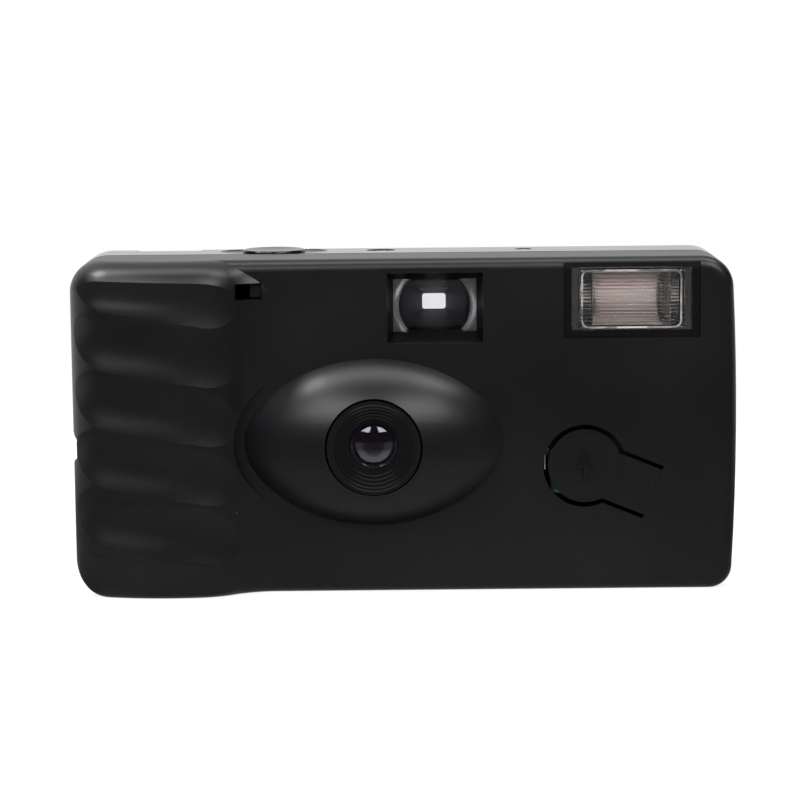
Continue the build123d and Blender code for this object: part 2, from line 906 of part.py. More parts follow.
def taking_lens():
    """The moulded plastic lens, bulged at the front and hollow at the back."""
    front_y = lens_edge_y - lens_edge_thickness
    clear = ring_throat_radius - fit_gap
    rise = lens_front_radius - sqrt(lens_front_radius**2 - clear**2)
    bulge = Pos(lens_x, front_y - rise + lens_front_radius, lens_z) * Sphere(lens_front_radius)
    bulge &= rod_y(lens_x, lens_z, clear, front_y - rise - wall, front_y)
    flange = rod_y(lens_x, lens_z, lens_radius, front_y, lens_edge_y)
    hollow_y = lens_edge_y + lens_back_radius - lens_back_hollow
    hollow = Pos(lens_x, hollow_y, lens_z) * Sphere(lens_back_radius)
    return bulge + flange - hollow


def lens_baffle():
    """The disc with the lens stop behind the lens."""
    back = cover_y - seat_gap
    disc = rod_y(lens_x, lens_z, baffle_radius, ring_back_y + seat_gap, back)
    disc -= rod_y(lens_x, lens_z, baffle_radius - baffle_thickness, ring_back_y, back - baffle_thickness)
    spacer = lens_turned(
        make_face(
            Polyline(
                (lens_radius, lens_edge_y + seat_gap),
                (lens_radius, ring_back_y + 2 * seat_gap),
                (lens_radius - baffle_thickness, ring_back_y + 2 * seat_gap),
                (lens_radius - baffle_thickness, lens_edge_y + seat_gap),
                close=True,
            )
        )
    )
    disc += lens_turned(
        make_face(
            Polyline(
                (baffle_radius, ring_back_y + seat_gap),
                (baffle_radius, ring_back_y + seat_gap + baffle_thickness),
                (stop_radius, ring_back_y + seat_gap + baffle_thickness),
                (stop_radius, ring_back_y + seat_gap),
                close=True,
            )
        )
    )
    disc += spacer
    return disc - rod_y(lens_x, lens_z, stop_radius, ring_front_y, face_y + wall)


# Shutter

def shutter_cover():
    """The plate that closes the shutter at the front and carries the lens ring."""
    span = cover_half_width - cover_half_height
    plate = SlotCenterToCenter(2 * span, 2 * cover_half_height)
    cover = front_prism(Pos(lens_x, lens_z) * plate, cover_y, cover_y + cover_thickness)
    cover -= rod_y(lens_x, lens_z, cover_hole, cover_y, face_y + 2 * wall)
    for sign in (-1, 1):
        foot_x = lens_x + sign * (span + cover_half_height / 2)
        cover += rod_y(foot_x, lens_z, blade_pin, cover_y, wall_y - seat_gap)
    return cover


def shutter_blade():
    """The thin blade that covers the lens opening and swings aside."""
    eye = Pos(blade_pivot_x, blade_pivot_z) * Circle(blade_eye)
    head = Pos(lens_x, lens_z) * Circle(blade_head)
    reach = sqrt((lens_x - blade_pivot_x) ** 2 + (lens_z - blade_pivot_z) ** 2)
    angle = degrees(atan2(lens_z - blade_pivot_z, lens_x - blade_pivot_x))
    arm = Pos(blade_pivot_x, blade_pivot_z) * Rot(0, 0, angle) * Pos(reach / 2, 0)
    arm *= Rectangle(reach, 2 * blade_eye)
    tab_height = blade_tab_z - blade_pivot_z
    tab = Pos(blade_pivot_x, blade_pivot_z + tab_height / 2) * Rectangle(blade_tab_width, tab_height)
    sketch = eye + head + arm + tab
    sketch -= Pos(blade_pivot_x, blade_pivot_z) * Circle(blade_pin + seat_gap)
    return front_prism(sketch, blade_y, blade_y + blade_thickness)


# Chassis

def chassis():
    """The inner frame: cassette and supply chambers, light tunnel, film gate and deck."""
    plate_back = film_plane_y - seat_gap
    plate_front = plate_back - gate_plate_thickness
    floor_z = film_mid_z - cassette_height / 2 - cassette_hub_stand - piece_gap
    frame = span_box(cassette_x, supply_x, plate_front, plate_back, floor_z, deck_z)
    chamber_radius = cap_radius + chamber_gap
    roof_z = film_mid_z + cassette_height / 2 + piece_gap
    outer = rod_z(cassette_x, cassette_y, chamber_radius + chamber_wall, floor_z, roof_z + chamber_wall)
    outer &= span_box(-half_width, half_width, -half_depth, plate_back, 0, body_height)
    frame += outer
    supply_low = film_mid_z - film_width / 2 - supply_flange_thickness - piece_gap
    supply_high = film_mid_z + film_width / 2 + supply_flange_thickness + piece_gap
    supply_outer = supply_chamber_radius + chamber_wall
    tower = rod_z(supply_x, supply_y, supply_outer, supply_low - chamber_wall, supply_high + chamber_wall)
    tower &= span_box(-half_width, half_width, -half_depth, plate_back, 0, body_height)
    frame += tower
    frame += span_box(deck_left_x, deck_right_x, deck_front_y, plate_back, deck_z, deck_z + deck_thickness)
    frame += span_box(
        lens_x - wall_half_width,
        lens_x + wall_half_width,
        wall_y,
        wall_y + wall_thickness,
        lens_z - wall_drop,
        lens_z + wall_lift,
    )
    tunnel_front = wall_y + wall_thickness
    small = (tunnel_front_width + 2 * tunnel_wall, tunnel_front_height + 2 * tunnel_wall)
    large = (gate_width + 2 * tunnel_wall, gate_height + 2 * tunnel_wall)
    frame += rectangle_funnel(lens_x, lens_z, small, large, tunnel_front, plate_front)
    frame -= rectangle_funnel(
        lens_x,
        lens_z,
        (tunnel_front_width, tunnel_front_height),
        (gate_width, gate_height),
        tunnel_front,
        plate_back,
    )
    frame -= rod_z(cassette_x, cassette_y, chamber_radius, floor_z, roof_z)
    frame -= span_box(
        cassette_x,
        cassette_x + chamber_radius + 3 * wall,
        plate_front - wall,
        plate_back,
        film_mid_z - cassette_height / 2 - piece_gap,
        film_mid_z + cassette_height / 2 + piece_gap,
    )
    hub_space = cassette_hub_radius + piece_gap
    frame -= rod_z(cassette_x, cassette_y, hub_space, floor_z - wall, roof_z + 2 * wall)
    frame -= rod_z(supply_x, supply_y, supply_chamber_radius, supply_low, supply_high)
    frame += rod_z(supply_x, supply_y, supply_pin_radius, supply_low, supply_low + 3 * wall)
    frame += rod_z(supply_x, supply_y, supply_pin_radius, supply_high - 3 * wall, supply_high)
    frame -= rod_y(lens_x, lens_z, cover_hole, wall_y - wall, tunnel_front + wall)
    sprocket_window = sprocket_root_radius() + sprocket_tooth_length + piece_gap
    frame -= rod_z(
        sprocket_x,
        sprocket_y(),
        sprocket_window,
        sprocket_mid_z() - sprocket_height / 2 - piece_gap,
        sprocket_mid_z() + sprocket_height / 2 + piece_gap,
    )
    shaft_space = sprocket_shaft_radius + seat_gap
    frame -= rod_z(sprocket_x, sprocket_y(), shaft_space, deck_z - wall, deck_z + 2 * wall)
    frame += rod_y(blade_pivot_x, blade_pivot_z, blade_pin, cover_y + cover_thickness + seat_gap, wall_y)
    frame += latch_hook()
    frame += battery_posts()
    frame += span_box(
        shelf_left_x,
        shelf_right_x,
        shelf_front_y,
        plate_back,
        capacitor_bottom_z - seat_gap - shelf_thickness,
        capacitor_bottom_z - seat_gap,
    )
    deck_top = deck_z + deck_thickness
    frame += rod_z(striker_x, striker_y(), pin_radius, deck_z, deck_top + pin_height)
    frame += rod_z(lever_x, lever_y, pin_radius, deck_z, lever_z + lever_thickness + piece_gap)
    frame -= finder_body(piece_gap, 0)
    half = finder_window_width / 2 + finder_wall + piece_gap
    frame -= span_box(
        finder_x - half,
        finder_x + half,
        deck_front_y - overrun,
        finder_lens_back() + piece_gap,
        finder_z - finder_window_height / 2 - finder_wall - piece_gap,
        body_height,
    )
    return frame - lower_corner_cut(wall + piece_gap)


def battery_posts():
    """The two walls that hold the battery's contacts."""
    left_back = battery_left_x - battery_nub_length - contact_thickness - 2 * seat_gap
    right_front = battery_left_x + battery_length + battery_nub_length + contact_thickness + 2 * seat_gap
    chamber_side = cassette_x + cap_radius + chamber_gap + chamber_wall
    left = span_box(
        chamber_side - chamber_wall / 2, left_back, post_front_y, post_back_y, post_low_z, post_high_z
    )
    right = span_box(
        right_front, right_front + post_thickness, post_front_y, post_back_y, post_low_z, post_high_z
    )
    supply_side = supply_x - supply_chamber_radius - chamber_wall / 2
    link = span_box(
        right_front, supply_side, post_back_y - 2 * post_thickness, post_back_y, post_low_z, post_high_z
    )
    return [left, right, link]


def latch_hook():
    """The hook that holds the front shell, seen through its small window."""
    hook_x = latch_x + (latch_width - hook_width) / 2 - fit_gap
    left = hook_x - hook_width / 2
    right = hook_x + hook_width / 2
    low = latch_z - hook_height / 2
    high = latch_z + hook_height / 2
    front = face_y + wall / 2
    nose = span_box(left, right, front, face_y + 2 * wall, low, high)
    arm = span_box(left, right, face_y + 2 * wall, deck_front_y + 2 * wall, deck_z + deck_thickness, high)
    return nose + arm


def sprocket_root_radius():
    """The radius on which the film lies on the sprocket."""
    return sprocket_teeth * perforation_pitch / (2 * pi)


def sprocket_y():
    """The sprocket's axis, with its teeth just clear of the film, which doesn't move here."""
    return film_plane_y - sprocket_root_radius() - sprocket_tooth_length - fit_gap


def sprocket_mid_z():
    """The height of the upper row of perforations."""
    return film_mid_z + film_width / 2 - perforation_edge - perforation_height / 2


def film_sprocket():
    """The toothed drum that the film turns, with its shaft and cam."""
    low = sprocket_mid_z() - sprocket_height / 2
    high = sprocket_mid_z() + sprocket_height / 2
    y = sprocket_y()
    root = sprocket_root_radius()
    drum = rod_z(sprocket_x, y, root, low, high)
    half = sprocket_tooth_width / 2
    tooth = make_face(
        Polyline(
            (root - half, -half),
            (root + sprocket_tooth_length, -half / 2),
            (root + sprocket_tooth_length, half / 2),
            (root - half, half),
            close=True,
        )
    )
    tooth_low = sprocket_mid_z() - perforation_height / 2 + fit_gap
    blank = extrude(Plane(origin=(0, 0, tooth_low)) * tooth, amount=perforation_height - 2 * fit_gap)
    for index in range(sprocket_teeth):
        turn = 360 / sprocket_teeth * (index + 0.5) + 90
        drum += Pos(sprocket_x, y, 0) * Rot(0, 0, turn) * blank
    drum += rod_z(sprocket_x, y, sprocket_shaft_radius, low - sprocket_foot, sprocket_top_z)
    cam_low = deck_z + deck_thickness + piece_gap
    drum += cam(sprocket_x, y, cam_low)
    return drum


def cam(x, y, low):
    """A round cam with one notch."""
    disc = rod_z(x, y, sprocket_cam_radius, low, low + sprocket_cam_thickness)
    reach = sprocket_cam_radius + overrun
    return disc - span_box(
        x - sprocket_cam_notch / 2,
        x + sprocket_cam_notch / 2,
        y - reach,
        y - sprocket_cam_radius + sprocket_cam_notch,
        low,
        low + sprocket_cam_thickness,
    )


# Film and cassette

def film_strip():
    """The film between the cassette and the supply roll, with its perforations."""
    left = cassette_x + sqrt(cassette_radius**2 - (film_plane_y - cassette_y) ** 2) + fit_gap
    strip = span_box(
        left,
        supply_x,
        film_plane_y,
        film_plane_y + film_thickness,
        film_mid_z - film_width / 2,
        film_mid_z + film_width / 2,
    )
    count = int((supply_x - supply_chamber_radius - sprocket_x) / perforation_pitch)
    first = -int((sprocket_x - left) / perforation_pitch)
    hole = Rectangle(perforation_width, perforation_height)
    spots = []
    for index in range(first, count):
        x = sprocket_x + (index + 0.5) * perforation_pitch
        if x - perforation_width / 2 > left + perforation_width / 2:
            spots.append(x)
    holes = Sketch()
    for x in spots:
        for sign in (-1, 1):
            z = film_mid_z + sign * (film_width / 2 - perforation_edge - perforation_height / 2)
            holes += Pos(x, z) * hole
    return strip - front_prism(holes, film_plane_y - wall, film_plane_y + wall)


def cassette_shell():
    """The cassette's tube with its felt lips."""
    low = film_mid_z - cassette_height / 2 + cap_height / 3
    high = film_mid_z + cassette_height / 2 - cap_height / 3
    can = rod_z(cassette_x, cassette_y, cassette_radius, low, high)
    lip_left = cassette_x + sqrt(cassette_radius**2 - (film_plane_y - cassette_y) ** 2) - wall
    lip_right = lip_left + cassette_lip_length
    lip_front = film_plane_y - cassette_lip_thickness
    lip_back = film_plane_y + film_thickness + cassette_lip_thickness
    lip_low = film_mid_z - film_width / 2 - lip_skin
    lip_high = film_mid_z + film_width / 2 + lip_skin
    can += span_box(lip_left, lip_right, lip_front, lip_back, lip_low, lip_high)
    can -= rod_z(cassette_x, cassette_y, cassette_radius - cassette_skin, low, high)
    slit = span_box(
        cassette_x,
        lip_right,
        film_plane_y - seat_gap,
        film_plane_y + film_thickness + seat_gap,
        film_mid_z - film_width / 2 - seat_gap,
        film_mid_z + film_width / 2 + seat_gap,
    )
    return can - slit


def cassette_cap(sign):
    """One pressed end cap of the cassette, as a shallow cup."""
    outside = film_mid_z + sign * cassette_height / 2
    inside = outside - sign * cap_height
    floor = outside - sign * cassette_skin
    cup = rod_z(cassette_x, cassette_y, cap_radius, min(outside, inside), max(outside, inside))
    cup -= rod_z(
        cassette_x, cassette_y, cassette_radius + seat_gap, min(floor, inside), max(floor, inside)
    )
    cup -= rod_z(
        cassette_x,
        cassette_y,
        cassette_hub_radius + fit_gap,
        min(outside, inside) - wall,
        max(outside, inside) + wall,
    )
    lip_left = cassette_x + sqrt(cassette_radius**2 - (film_plane_y - cassette_y) ** 2) - wall
    gap_low = min(floor, inside)
    gap_high = max(floor, inside)
    side = span_box(
        lip_left - piece_gap,
        cassette_x + cap_radius + wall,
        film_plane_y - cassette_lip_thickness - piece_gap,
        cassette_y + cap_radius + wall,
        gap_low,
        gap_high,
    )
    return cup - side


def cassette_spool():
    """The spool that the film winds back on to, with a fork slot in its top hub."""
    low = film_mid_z - cassette_height / 2 - cassette_hub_stand
    high = film_mid_z + cassette_height / 2 + cassette_hub_stand
    spool = rod_z(cassette_x, cassette_y, cassette_hub_radius, low, high)
    core_low = film_mid_z - film_width / 2
    core_high = film_mid_z + film_width / 2
    spool += rod_z(cassette_x, cassette_y, cassette_core_radius, core_low, core_high)
    for start in (core_low - supply_flange_thickness, core_high):
        spool += rod_z(
            cassette_x,
            cassette_y,
            wound_film_radius + cassette_hub_stand,
            start,
            start + supply_flange_thickness,
        )
    spool -= rod_z(cassette_x, cassette_y, cassette_hub_bore, high - 3 * wall, high)
    spool -= rod_z(cassette_x, cassette_y, cassette_hub_bore, low, low + 3 * wall)
    return spool


def wound_film():
    """The turns of exposed film on the cassette's spool."""
    low = film_mid_z - film_width / 2 + seat_gap
    high = film_mid_z + film_width / 2 - seat_gap
    roll = rod_z(cassette_x, cassette_y, wound_film_radius, low, high)
    return roll - rod_z(cassette_x, cassette_y, cassette_core_radius + seat_gap, low, high)


def thumb_wheel():
    """The winding wheel with its knurled rim, web, hub and the driver for the spool."""
    outline = Circle(wheel_radius - wheel_tooth_depth / 2)
    wheel = extrude(
        Plane(origin=(cassette_x, cassette_y, wheel_bottom_z)) * outline,
        amount=wheel_top_z - wheel_bottom_z,
    )
    notch = rod_z(
        cassette_x + wheel_radius,
        cassette_y,
        wheel_tooth_depth,
        wheel_bottom_z,
        wheel_top_z,
    )
    notches = []
    for index in range(wheel_teeth):
        turn = Pos(cassette_x, cassette_y, 0) * Rot(0, 0, index * 360 / wheel_teeth)
        notches.append(turn * Pos(-cassette_x, -cassette_y, 0) * notch)
    wheel -= notches
    inner = wheel_radius - wheel_rim
    ring = rod_z(cassette_x, cassette_y, inner, wheel_bottom_z + wheel_web, wheel_top_z)
    ring -= rod_z(cassette_x, cassette_y, wheel_hub_radius, wheel_bottom_z + wheel_web, wheel_top_z)
    wheel -= ring
    hub_top = film_mid_z + cassette_height / 2 + cassette_hub_stand
    wheel += rod_z(cassette_x, cassette_y, cassette_hub_bore - fit_gap, hub_top - 2 * wall, wheel_bottom_z)
    wheel -= rod_z(cassette_x, cassette_y, wheel_bore_radius, wheel_bottom_z, wheel_top_z)
    return wheel


def supply_spool():
    """The spool of the unexposed film."""
    low = film_mid_z - film_width / 2
    high = film_mid_z + film_width / 2
    spool = rod_z(supply_x, supply_y, supply_core_radius, low, high)
    for start in (low - supply_flange_thickness, high):
        spool += rod_z(supply_x, supply_y, supply_flange_radius, start, start + supply_flange_thickness)
    bore_low = low - 2 * supply_flange_thickness
    bore_high = high + 2 * supply_flange_thickness
    return spool - rod_z(supply_x, supply_y, supply_bore_radius, bore_low, bore_high)


def supply_roll():
    """The turns of unexposed film on the supply spool."""
    low = film_mid_z - film_width / 2 + seat_gap
    high = film_mid_z + film_width / 2 - seat_gap
    roll = rod_z(supply_x, supply_y, supply_roll_radius, low, high)
    return roll - rod_z(supply_x, supply_y, supply_core_radius + seat_gap, low, high)


# Top mechanism

def shutter_button():
    """The round shutter button with a dished top and a long stem."""
    low = button_top_z - button_height
    button = rod_z(button_x, button_y, button_radius, low, button_top_z)
    button = fillet(button.edges().filter_by(GeomType.CIRCLE).sort_by(Axis.Z)[-1], button_dish)
    bowl_radius = (button_radius**2 + button_dish**2) / (2 * button_dish)
    button -= Pos(button_x, button_y, button_top_z + bowl_radius - button_dish) * Sphere(bowl_radius)
    return button + rod_z(button_x, button_y, button_stem_radius, button_stem_foot_z, low)


def counter_dial():
    """The frame counter's toothed disc on its shaft."""
    disc = rod_z(dial_x, dial_y, dial_radius, dial_bottom_z, dial_bottom_z + dial_thickness)
    half = dial_tooth_depth
    tooth = make_face(
        Polyline(
            (dial_radius - half, 0),
            (dial_radius + half, -half),
            (dial_radius + half, half),
            close=True,
        )
    )
    tooth = extrude(Plane(origin=(0, 0, dial_bottom_z)) * tooth, amount=dial_thickness)
    teeth = []
    for index in range(dial_teeth):
        teeth.append(Pos(dial_x, dial_y, 0) * Rot(0, 0, index * 360 / dial_teeth) * tooth)
    disc -= teeth
    return disc + rod_z(dial_x, dial_y, dial_shaft_radius, dial_foot_z(), dial_bottom_z)


def dial_foot_z():
    """The height of the chassis deck that the dial's shaft stands on."""
    return deck_z + deck_thickness + seat_gap


# Levers and springs of the shutter

def striker_y():
    """The depth of the striker's pin, so that its tip passes just behind the front wall."""
    return striker_tip_y + striker_reach


def bar(x, y, angle, reach, root_width, tip_width):
    """A flat tapered bar from a pin, seen from above."""
    outline = Polyline(
        (0, -root_width / 2),
        (reach, -tip_width / 2),
        (reach, tip_width / 2),
        (0, root_width / 2),
        close=True,
    )
    return Pos(x, y) * Rot(0, 0, angle) * make_face(outline)


def striker():
    """The sprung lever that knocks the shutter blade open, in its cocked place."""
    arm = bar(striker_x, striker_y(), 270 + striker_start, striker_reach, striker_width, striker_tip_width)
    sketch = arm + Pos(striker_x, striker_y()) * Circle(striker_hub_radius)
    sketch -= Pos(striker_x, striker_y()) * Circle(pin_radius + seat_gap)
    low = deck_z + deck_thickness + 2 * seat_gap
    return extrude(Plane(origin=(0, 0, low)) * sketch, amount=striker_thickness)


def metering_lever():
    """The lever that stops the winding and holds the striker until the button goes down."""
    first = bar(lever_x, lever_y, lever_button_angle, lever_button_reach, lever_width, lever_tip_width)
    second = bar(lever_x, lever_y, lever_striker_angle, lever_striker_reach, lever_width, lever_tip_width)
    sketch = first + second + Pos(lever_x, lever_y) * Circle(striker_hub_radius)
    sketch -= Pos(lever_x, lever_y) * Circle(pin_radius + seat_gap)
    lever = extrude(Plane(origin=(0, 0, lever_z)) * sketch, amount=lever_thickness)
    foot = Pos(lever_x, lever_y) * Circle(striker_hub_radius)
    foot -= Pos(lever_x, lever_y) * Circle(pin_radius + seat_gap)
    low = deck_z + deck_thickness + 2 * seat_gap
    return lever + extrude(Plane(origin=(0, 0, low)) * foot, amount=lever_z - low)


def striker_spring():
    """The small torsion spring above the striker's hub."""
    low = deck_z + deck_thickness + 2 * seat_gap + striker_thickness + seat_gap + coil_wire / 2
    path = Pos(striker_x, striker_y(), low) * Helix(
        pitch=coil_pitch, height=coil_pitch * coil_turns, radius=coil_radius
    )
    start = Plane(origin=path @ 0, z_dir=path % 0, x_dir=(1, 0, 0))
    return sweep(start * Rectangle(coil_wire, coil_wire), path=path, is_frenet=True)


def shutter_spring():
    """The hairpin spring that closes the shutter blade again."""
    legs = Sketch()
    for angle in (hairpin_angle, -hairpin_angle):
        leg = Pos(hairpin_x, hairpin_z) * Rot(0, 0, 90 + angle) * Pos(hairpin_length / 2, 0)
        legs += leg * Rectangle(hairpin_length, hairpin_width)
    eye = Circle(pin_radius + hairpin_width) - Circle(pin_radius)
    legs += Pos(hairpin_x, hairpin_z) * eye
    legs -= Pos(hairpin_x, hairpin_z) * Circle(pin_radius)
    return front_prism(legs, wall_y - seat_gap - hairpin_width, wall_y - seat_gap)


# Windows and viewfinder

def counter_window():
    """The clear oval window over the frame counter."""
    window = Ellipse(counter_window_half_width - seat_gap, counter_window_half_depth - seat_gap)
    low = body_height - wall + seat_gap
    plane = Plane(origin=(counter_window_x, counter_window_y, low))
    return extrude(plane * window, amount=wall - 2 * seat_gap - fit_gap)


def finder_lens_back():
    """The depth of the back of the viewfinder's front lens."""
    return face_y + finder_depth + seat_gap + finder_lens_thickness


def finder_front_lens():
    """The clear front lens of the viewfinder, hollowed out in a circle."""
    front = face_y + finder_depth + seat_gap
    width = finder_window_width + 2 * finder_lens_margin
    height = finder_window_height + 2 * finder_lens_margin
    lens = front_prism(
        Pos(finder_x, finder_z) * Rectangle(width, height), front, finder_lens_back()
    )
    curve = (finder_lens_curve_radius**2 + finder_lens_hollow**2) / (2 * finder_lens_hollow)
    ball = Pos(finder_x, front - curve + finder_lens_hollow, finder_z) * Sphere(curve)
    return lens - ball


def finder_body(grow, inset):
    """The outside of the viewfinder's box, or its inside when inset by the wall."""
    front = (
        finder_window_width + 2 * (finder_wall - inset + grow),
        finder_window_height + 2 * (finder_wall - inset + grow),
    )
    back = (
        eyepiece_width + 2 * (finder_wall - inset + grow),
        eyepiece_height + 2 * (finder_wall - inset + grow),
    )
    return rectangle_funnel(
        finder_x, finder_z, front, back, finder_lens_back() + seat_gap, eyepiece_front() - seat_gap
    )


def eyepiece_front():
    """The depth of the front of the eyepiece's flange."""
    return half_depth - wall - seat_gap - eyepiece_thickness


def finder_tunnel():
    """The open box between the viewfinder's two lenses."""
    return finder_body(0, 0) - finder_body(0, finder_wall)


def eyepiece():
    """The clear rear lens of the viewfinder, bulged towards the eye."""
    flange = RectangleRounded(
        eyepiece_width + 2 * finder_wall, eyepiece_height + 2 * finder_wall, eyepiece_margin
    )
    lens = front_prism(Pos(finder_x, finder_z) * flange, eyepiece_front(), half_depth - wall - seat_gap)
    plug = RectangleRounded(
        eyepiece_width - 2 * seat_gap, eyepiece_height - 2 * seat_gap, eyepiece_margin - seat_gap
    )
    back = half_depth - eyepiece_recess / 2
    lens += front_prism(Pos(finder_x, finder_z) * plug, half_depth - wall - 2 * seat_gap, back)
    centre_y = back - eyepiece_bulge_radius
    bulge = Pos(finder_x, centre_y, finder_z) * Sphere(eyepiece_bulge_radius)
    keep = span_box(
        finder_x - eyepiece_width,
        finder_x + eyepiece_width,
        eyepiece_front(),
        half_depth - wall - seat_gap,
        finder_z - eyepiece_height,
        finder_z + eyepiece_height,
    )
    return lens & (bulge + keep)


# Flash

def flash_window():
    """The clear flash lens: rim, flange, raised block and the flutes at its back."""
    rim = Rectangle(flash_opening_width + 2 * flash_rim, flash_opening_height - 2 * flash_rim_drop)
    flange = Rectangle(flash_opening_width - 2 * fit_gap, flash_opening_height - 2 * fit_gap)
    block = Rectangle(flash_block_width, flash_block_height)
    place = Pos(flash_x, flash_z)
    seat = face_y + wall + seat_gap
    back = seat + flash_rim_thickness
    window = front_prism(place * rim, seat, back)
    window += front_prism(place * flange, face_y + flash_flange_sink, seat)
    raised = front_prism(place * block, face_y - flash_block_stand, seat)
    edges = raised.faces().sort_by(Axis.Y)[0].edges()
    window += fillet(edges, flash_rim)
    pitch = flash_block_height / flute_count
    radius = ((pitch / 2) ** 2 + flute_depth**2) / (2 * flute_depth)
    flutes = []
    for index in range(flute_count):
        height = flash_z - flash_block_height / 2 + (index + 0.5) * pitch
        middle = back + radius - flute_depth
        flutes.append(
            rod_x(middle, height, radius, flash_x - flash_block_width / 2, flash_x + flash_block_width / 2)
        )
    return window - flutes


def reflector_back():
    """The depth of the deepest point of the flash reflector."""
    return face_y + wall + flash_rim_thickness + 2 * seat_gap + reflector_depth


def trough(inset):
    """A half oval trough that opens to the front."""
    mouth_y = reflector_back() - reflector_depth
    corner = (flash_x - reflector_width / 2 + inset, mouth_y, flash_z)
    side = Plane(origin=corner, x_dir=(0, 1, 0), z_dir=(1, 0, 0))
    oval = Ellipse(reflector_depth - inset, reflector_mouth / 2 - inset)
    half = Pos(reflector_depth / 2, 0) * Rectangle(reflector_depth, reflector_mouth)
    bowl = extrude(side * (oval & half), amount=reflector_width - 2 * inset)
    front = (reflector_width - 2 * inset, reflector_mouth)
    back = (reflector_back_width - 2 * inset, reflector_mouth)
    return bowl & rectangle_funnel(flash_x, flash_z, front, back, mouth_y, reflector_back())


def flash_reflector():
    """The bright trough behind the flash tube, with a hole in each end for it."""
    bowl = trough(0) - trough(reflector_skin)
    hole = rod_x(
        tube_y(), flash_z, tube_radius + fit_gap, flash_x - reflector_width, flash_x + reflector_width
    )
    return bowl - hole


def tube_y():
    """The depth of the flash tube's axis."""
    return reflector_back() - reflector_depth + tube_back


def flash_tube():
    """The sealed glass tube of the flash."""
    half = tube_length / 2 - tube_cap_length
    return rod_x(tube_y(), flash_z, tube_radius, flash_x - half, flash_x + half)


def tube_electrodes():
    """The two metal ends of the flash tube."""
    outer = tube_length / 2
    inner = outer - tube_cap_length
    left = rod_x(tube_y(), flash_z, tube_radius, flash_x - outer, flash_x - inner)
    right = rod_x(tube_y(), flash_z, tube_radius, flash_x + inner, flash_x + outer)
    return Compound(children=[left, right])


def flash_board():
    """The circuit board behind the flash button."""
    board = span_box(
        board_left_x, board_right_x, board_y, board_y + board_thickness, board_bottom_z, board_top_z
    )
    corners = board.edges().filter_by(Axis.Y)
    return fillet(corners, board_thickness)


def flash_capacitor():
    """The flash capacitor, standing upright, with the crimp round its can."""
    top = capacitor_bottom_z + capacitor_length
    can = rod_z(capacitor_x, capacitor_y, capacitor_radius, capacitor_bottom_z, top)
    can = fillet(can.edges().filter_by(GeomType.CIRCLE), capacitor_groove)
    crimp_z = capacitor_bottom_z + 4 * capacitor_groove
    ring = rod_z(capacitor_x, capacitor_y, capacitor_radius + wall, crimp_z, crimp_z + capacitor_groove)
    neck = rod_z(
        capacitor_x, capacitor_y, capacitor_radius - capacitor_groove, crimp_z, crimp_z + capacitor_groove
    )
    return can - (ring - neck)


def flash_transformer():
    """The small step-up transformer: a core with its winding."""
    half = transformer_size / 2
    low = capacitor_bottom_z
    high = low + transformer_height
    core = span_box(
        transformer_x - half, transformer_x + half, transformer_y - half, transformer_y + half, low, high
    )
    groove = span_box(
        transformer_x - half - wall,
        transformer_x + half + wall,
        transformer_y - half - wall,
        transformer_y + half + wall,
        low + wall,
        high - wall,
    )
    groove -= rod_z(transformer_x, transformer_y, half - lip_skin / 2, low, high)
    return core - groove


def trigger_coil():
    """The trigger coil of the flash tube, lying on the deck."""
    height = deck_z + deck_thickness + seat_gap + trigger_coil_radius
    middle = trigger_coil_length / 2
    spool = rod_y(board_left_x, height, trigger_coil_radius, -middle, middle)
    winding = rod_y(board_left_x, height, trigger_coil_radius + wall, -middle + lip_skin, middle - lip_skin)
    winding -= rod_y(
        board_left_x, height, trigger_coil_radius - piece_gap, -middle + lip_skin, middle - lip_skin
    )
    return spool - winding


def ready_lamp():
    """The neon lamp that shows that the flash is ready."""
    low = deck_z + deck_thickness + seat_gap
    lamp = rod_z(lamp_x, lamp_y, lamp_radius, low, low + lamp_length)
    tip = lamp.edges().filter_by(GeomType.CIRCLE).sort_by(Axis.Z)[-1]
    return fillet(tip, lamp_radius / 2)


def light_pipe():
    """The clear pin that carries the lamp's light to the top."""
    top = body_height - fit_gap
    pipe = rod_z(lamp_x, lamp_y, pipe_radius, top - pipe_length, top)
    flange_top = body_height - wall - seat_gap
    return pipe + rod_z(
        lamp_x, lamp_y, pipe_flange_radius, flange_top - pipe_flange_thickness, flange_top
    )


def flash_button():
    """The flash charging button: a dished disc on a springy arm, with a post behind it."""
    plate = front_prism(press_outline(0, 0, 0), face_y, face_y + wall)
    bowl_radius = (press_dish_radius**2 + press_dish**2) / (2 * press_dish)
    plate -= Pos(press_x, face_y - bowl_radius + press_dish, press_z) * Sphere(bowl_radius)
    back = face_y + wall
    return plate + rod_y(press_x, press_z, press_post_radius, back, back + press_post_length)


def switch_leaf():
    """The springy contact on the board that the flash button closes."""
    front = face_y + wall + press_post_length + press_leaf_gap
    half = press_post_radius
    length = 4 * press_post_radius
    leaf = span_box(
        press_x - half,
        press_x + length,
        front,
        front + contact_thickness / 2,
        press_z - half,
        press_z + half,
    )
    foot = span_box(
        press_x + length - half,
        press_x + length,
        front,
        board_y,
        press_z - half,
        press_z + half,
    )
    return leaf + foot


# Battery

def battery():
    """The AA cell with its raised terminal."""
    right = battery_left_x + battery_length
    cell = rod_x(battery_y, battery_z, battery_radius, battery_left_x, right)
    cell = fillet(cell.edges().filter_by(GeomType.CIRCLE), lip_skin)
    return cell + rod_x(battery_y, battery_z, battery_nub_radius, right, right + battery_nub_length)


def contact_plate(left):
    """A flat metal contact whose left face is at the given place."""
    return span_box(
        left,
        left + contact_thickness,
        battery_y - contact_width / 2,
        battery_y + contact_width / 2,
        battery_z - contact_height / 2,
        battery_z + contact_height / 2,
    )


def positive_contact():
    """The flat contact at the battery's raised end."""
    return contact_plate(battery_left_x + battery_length + battery_nub_length + seat_gap)


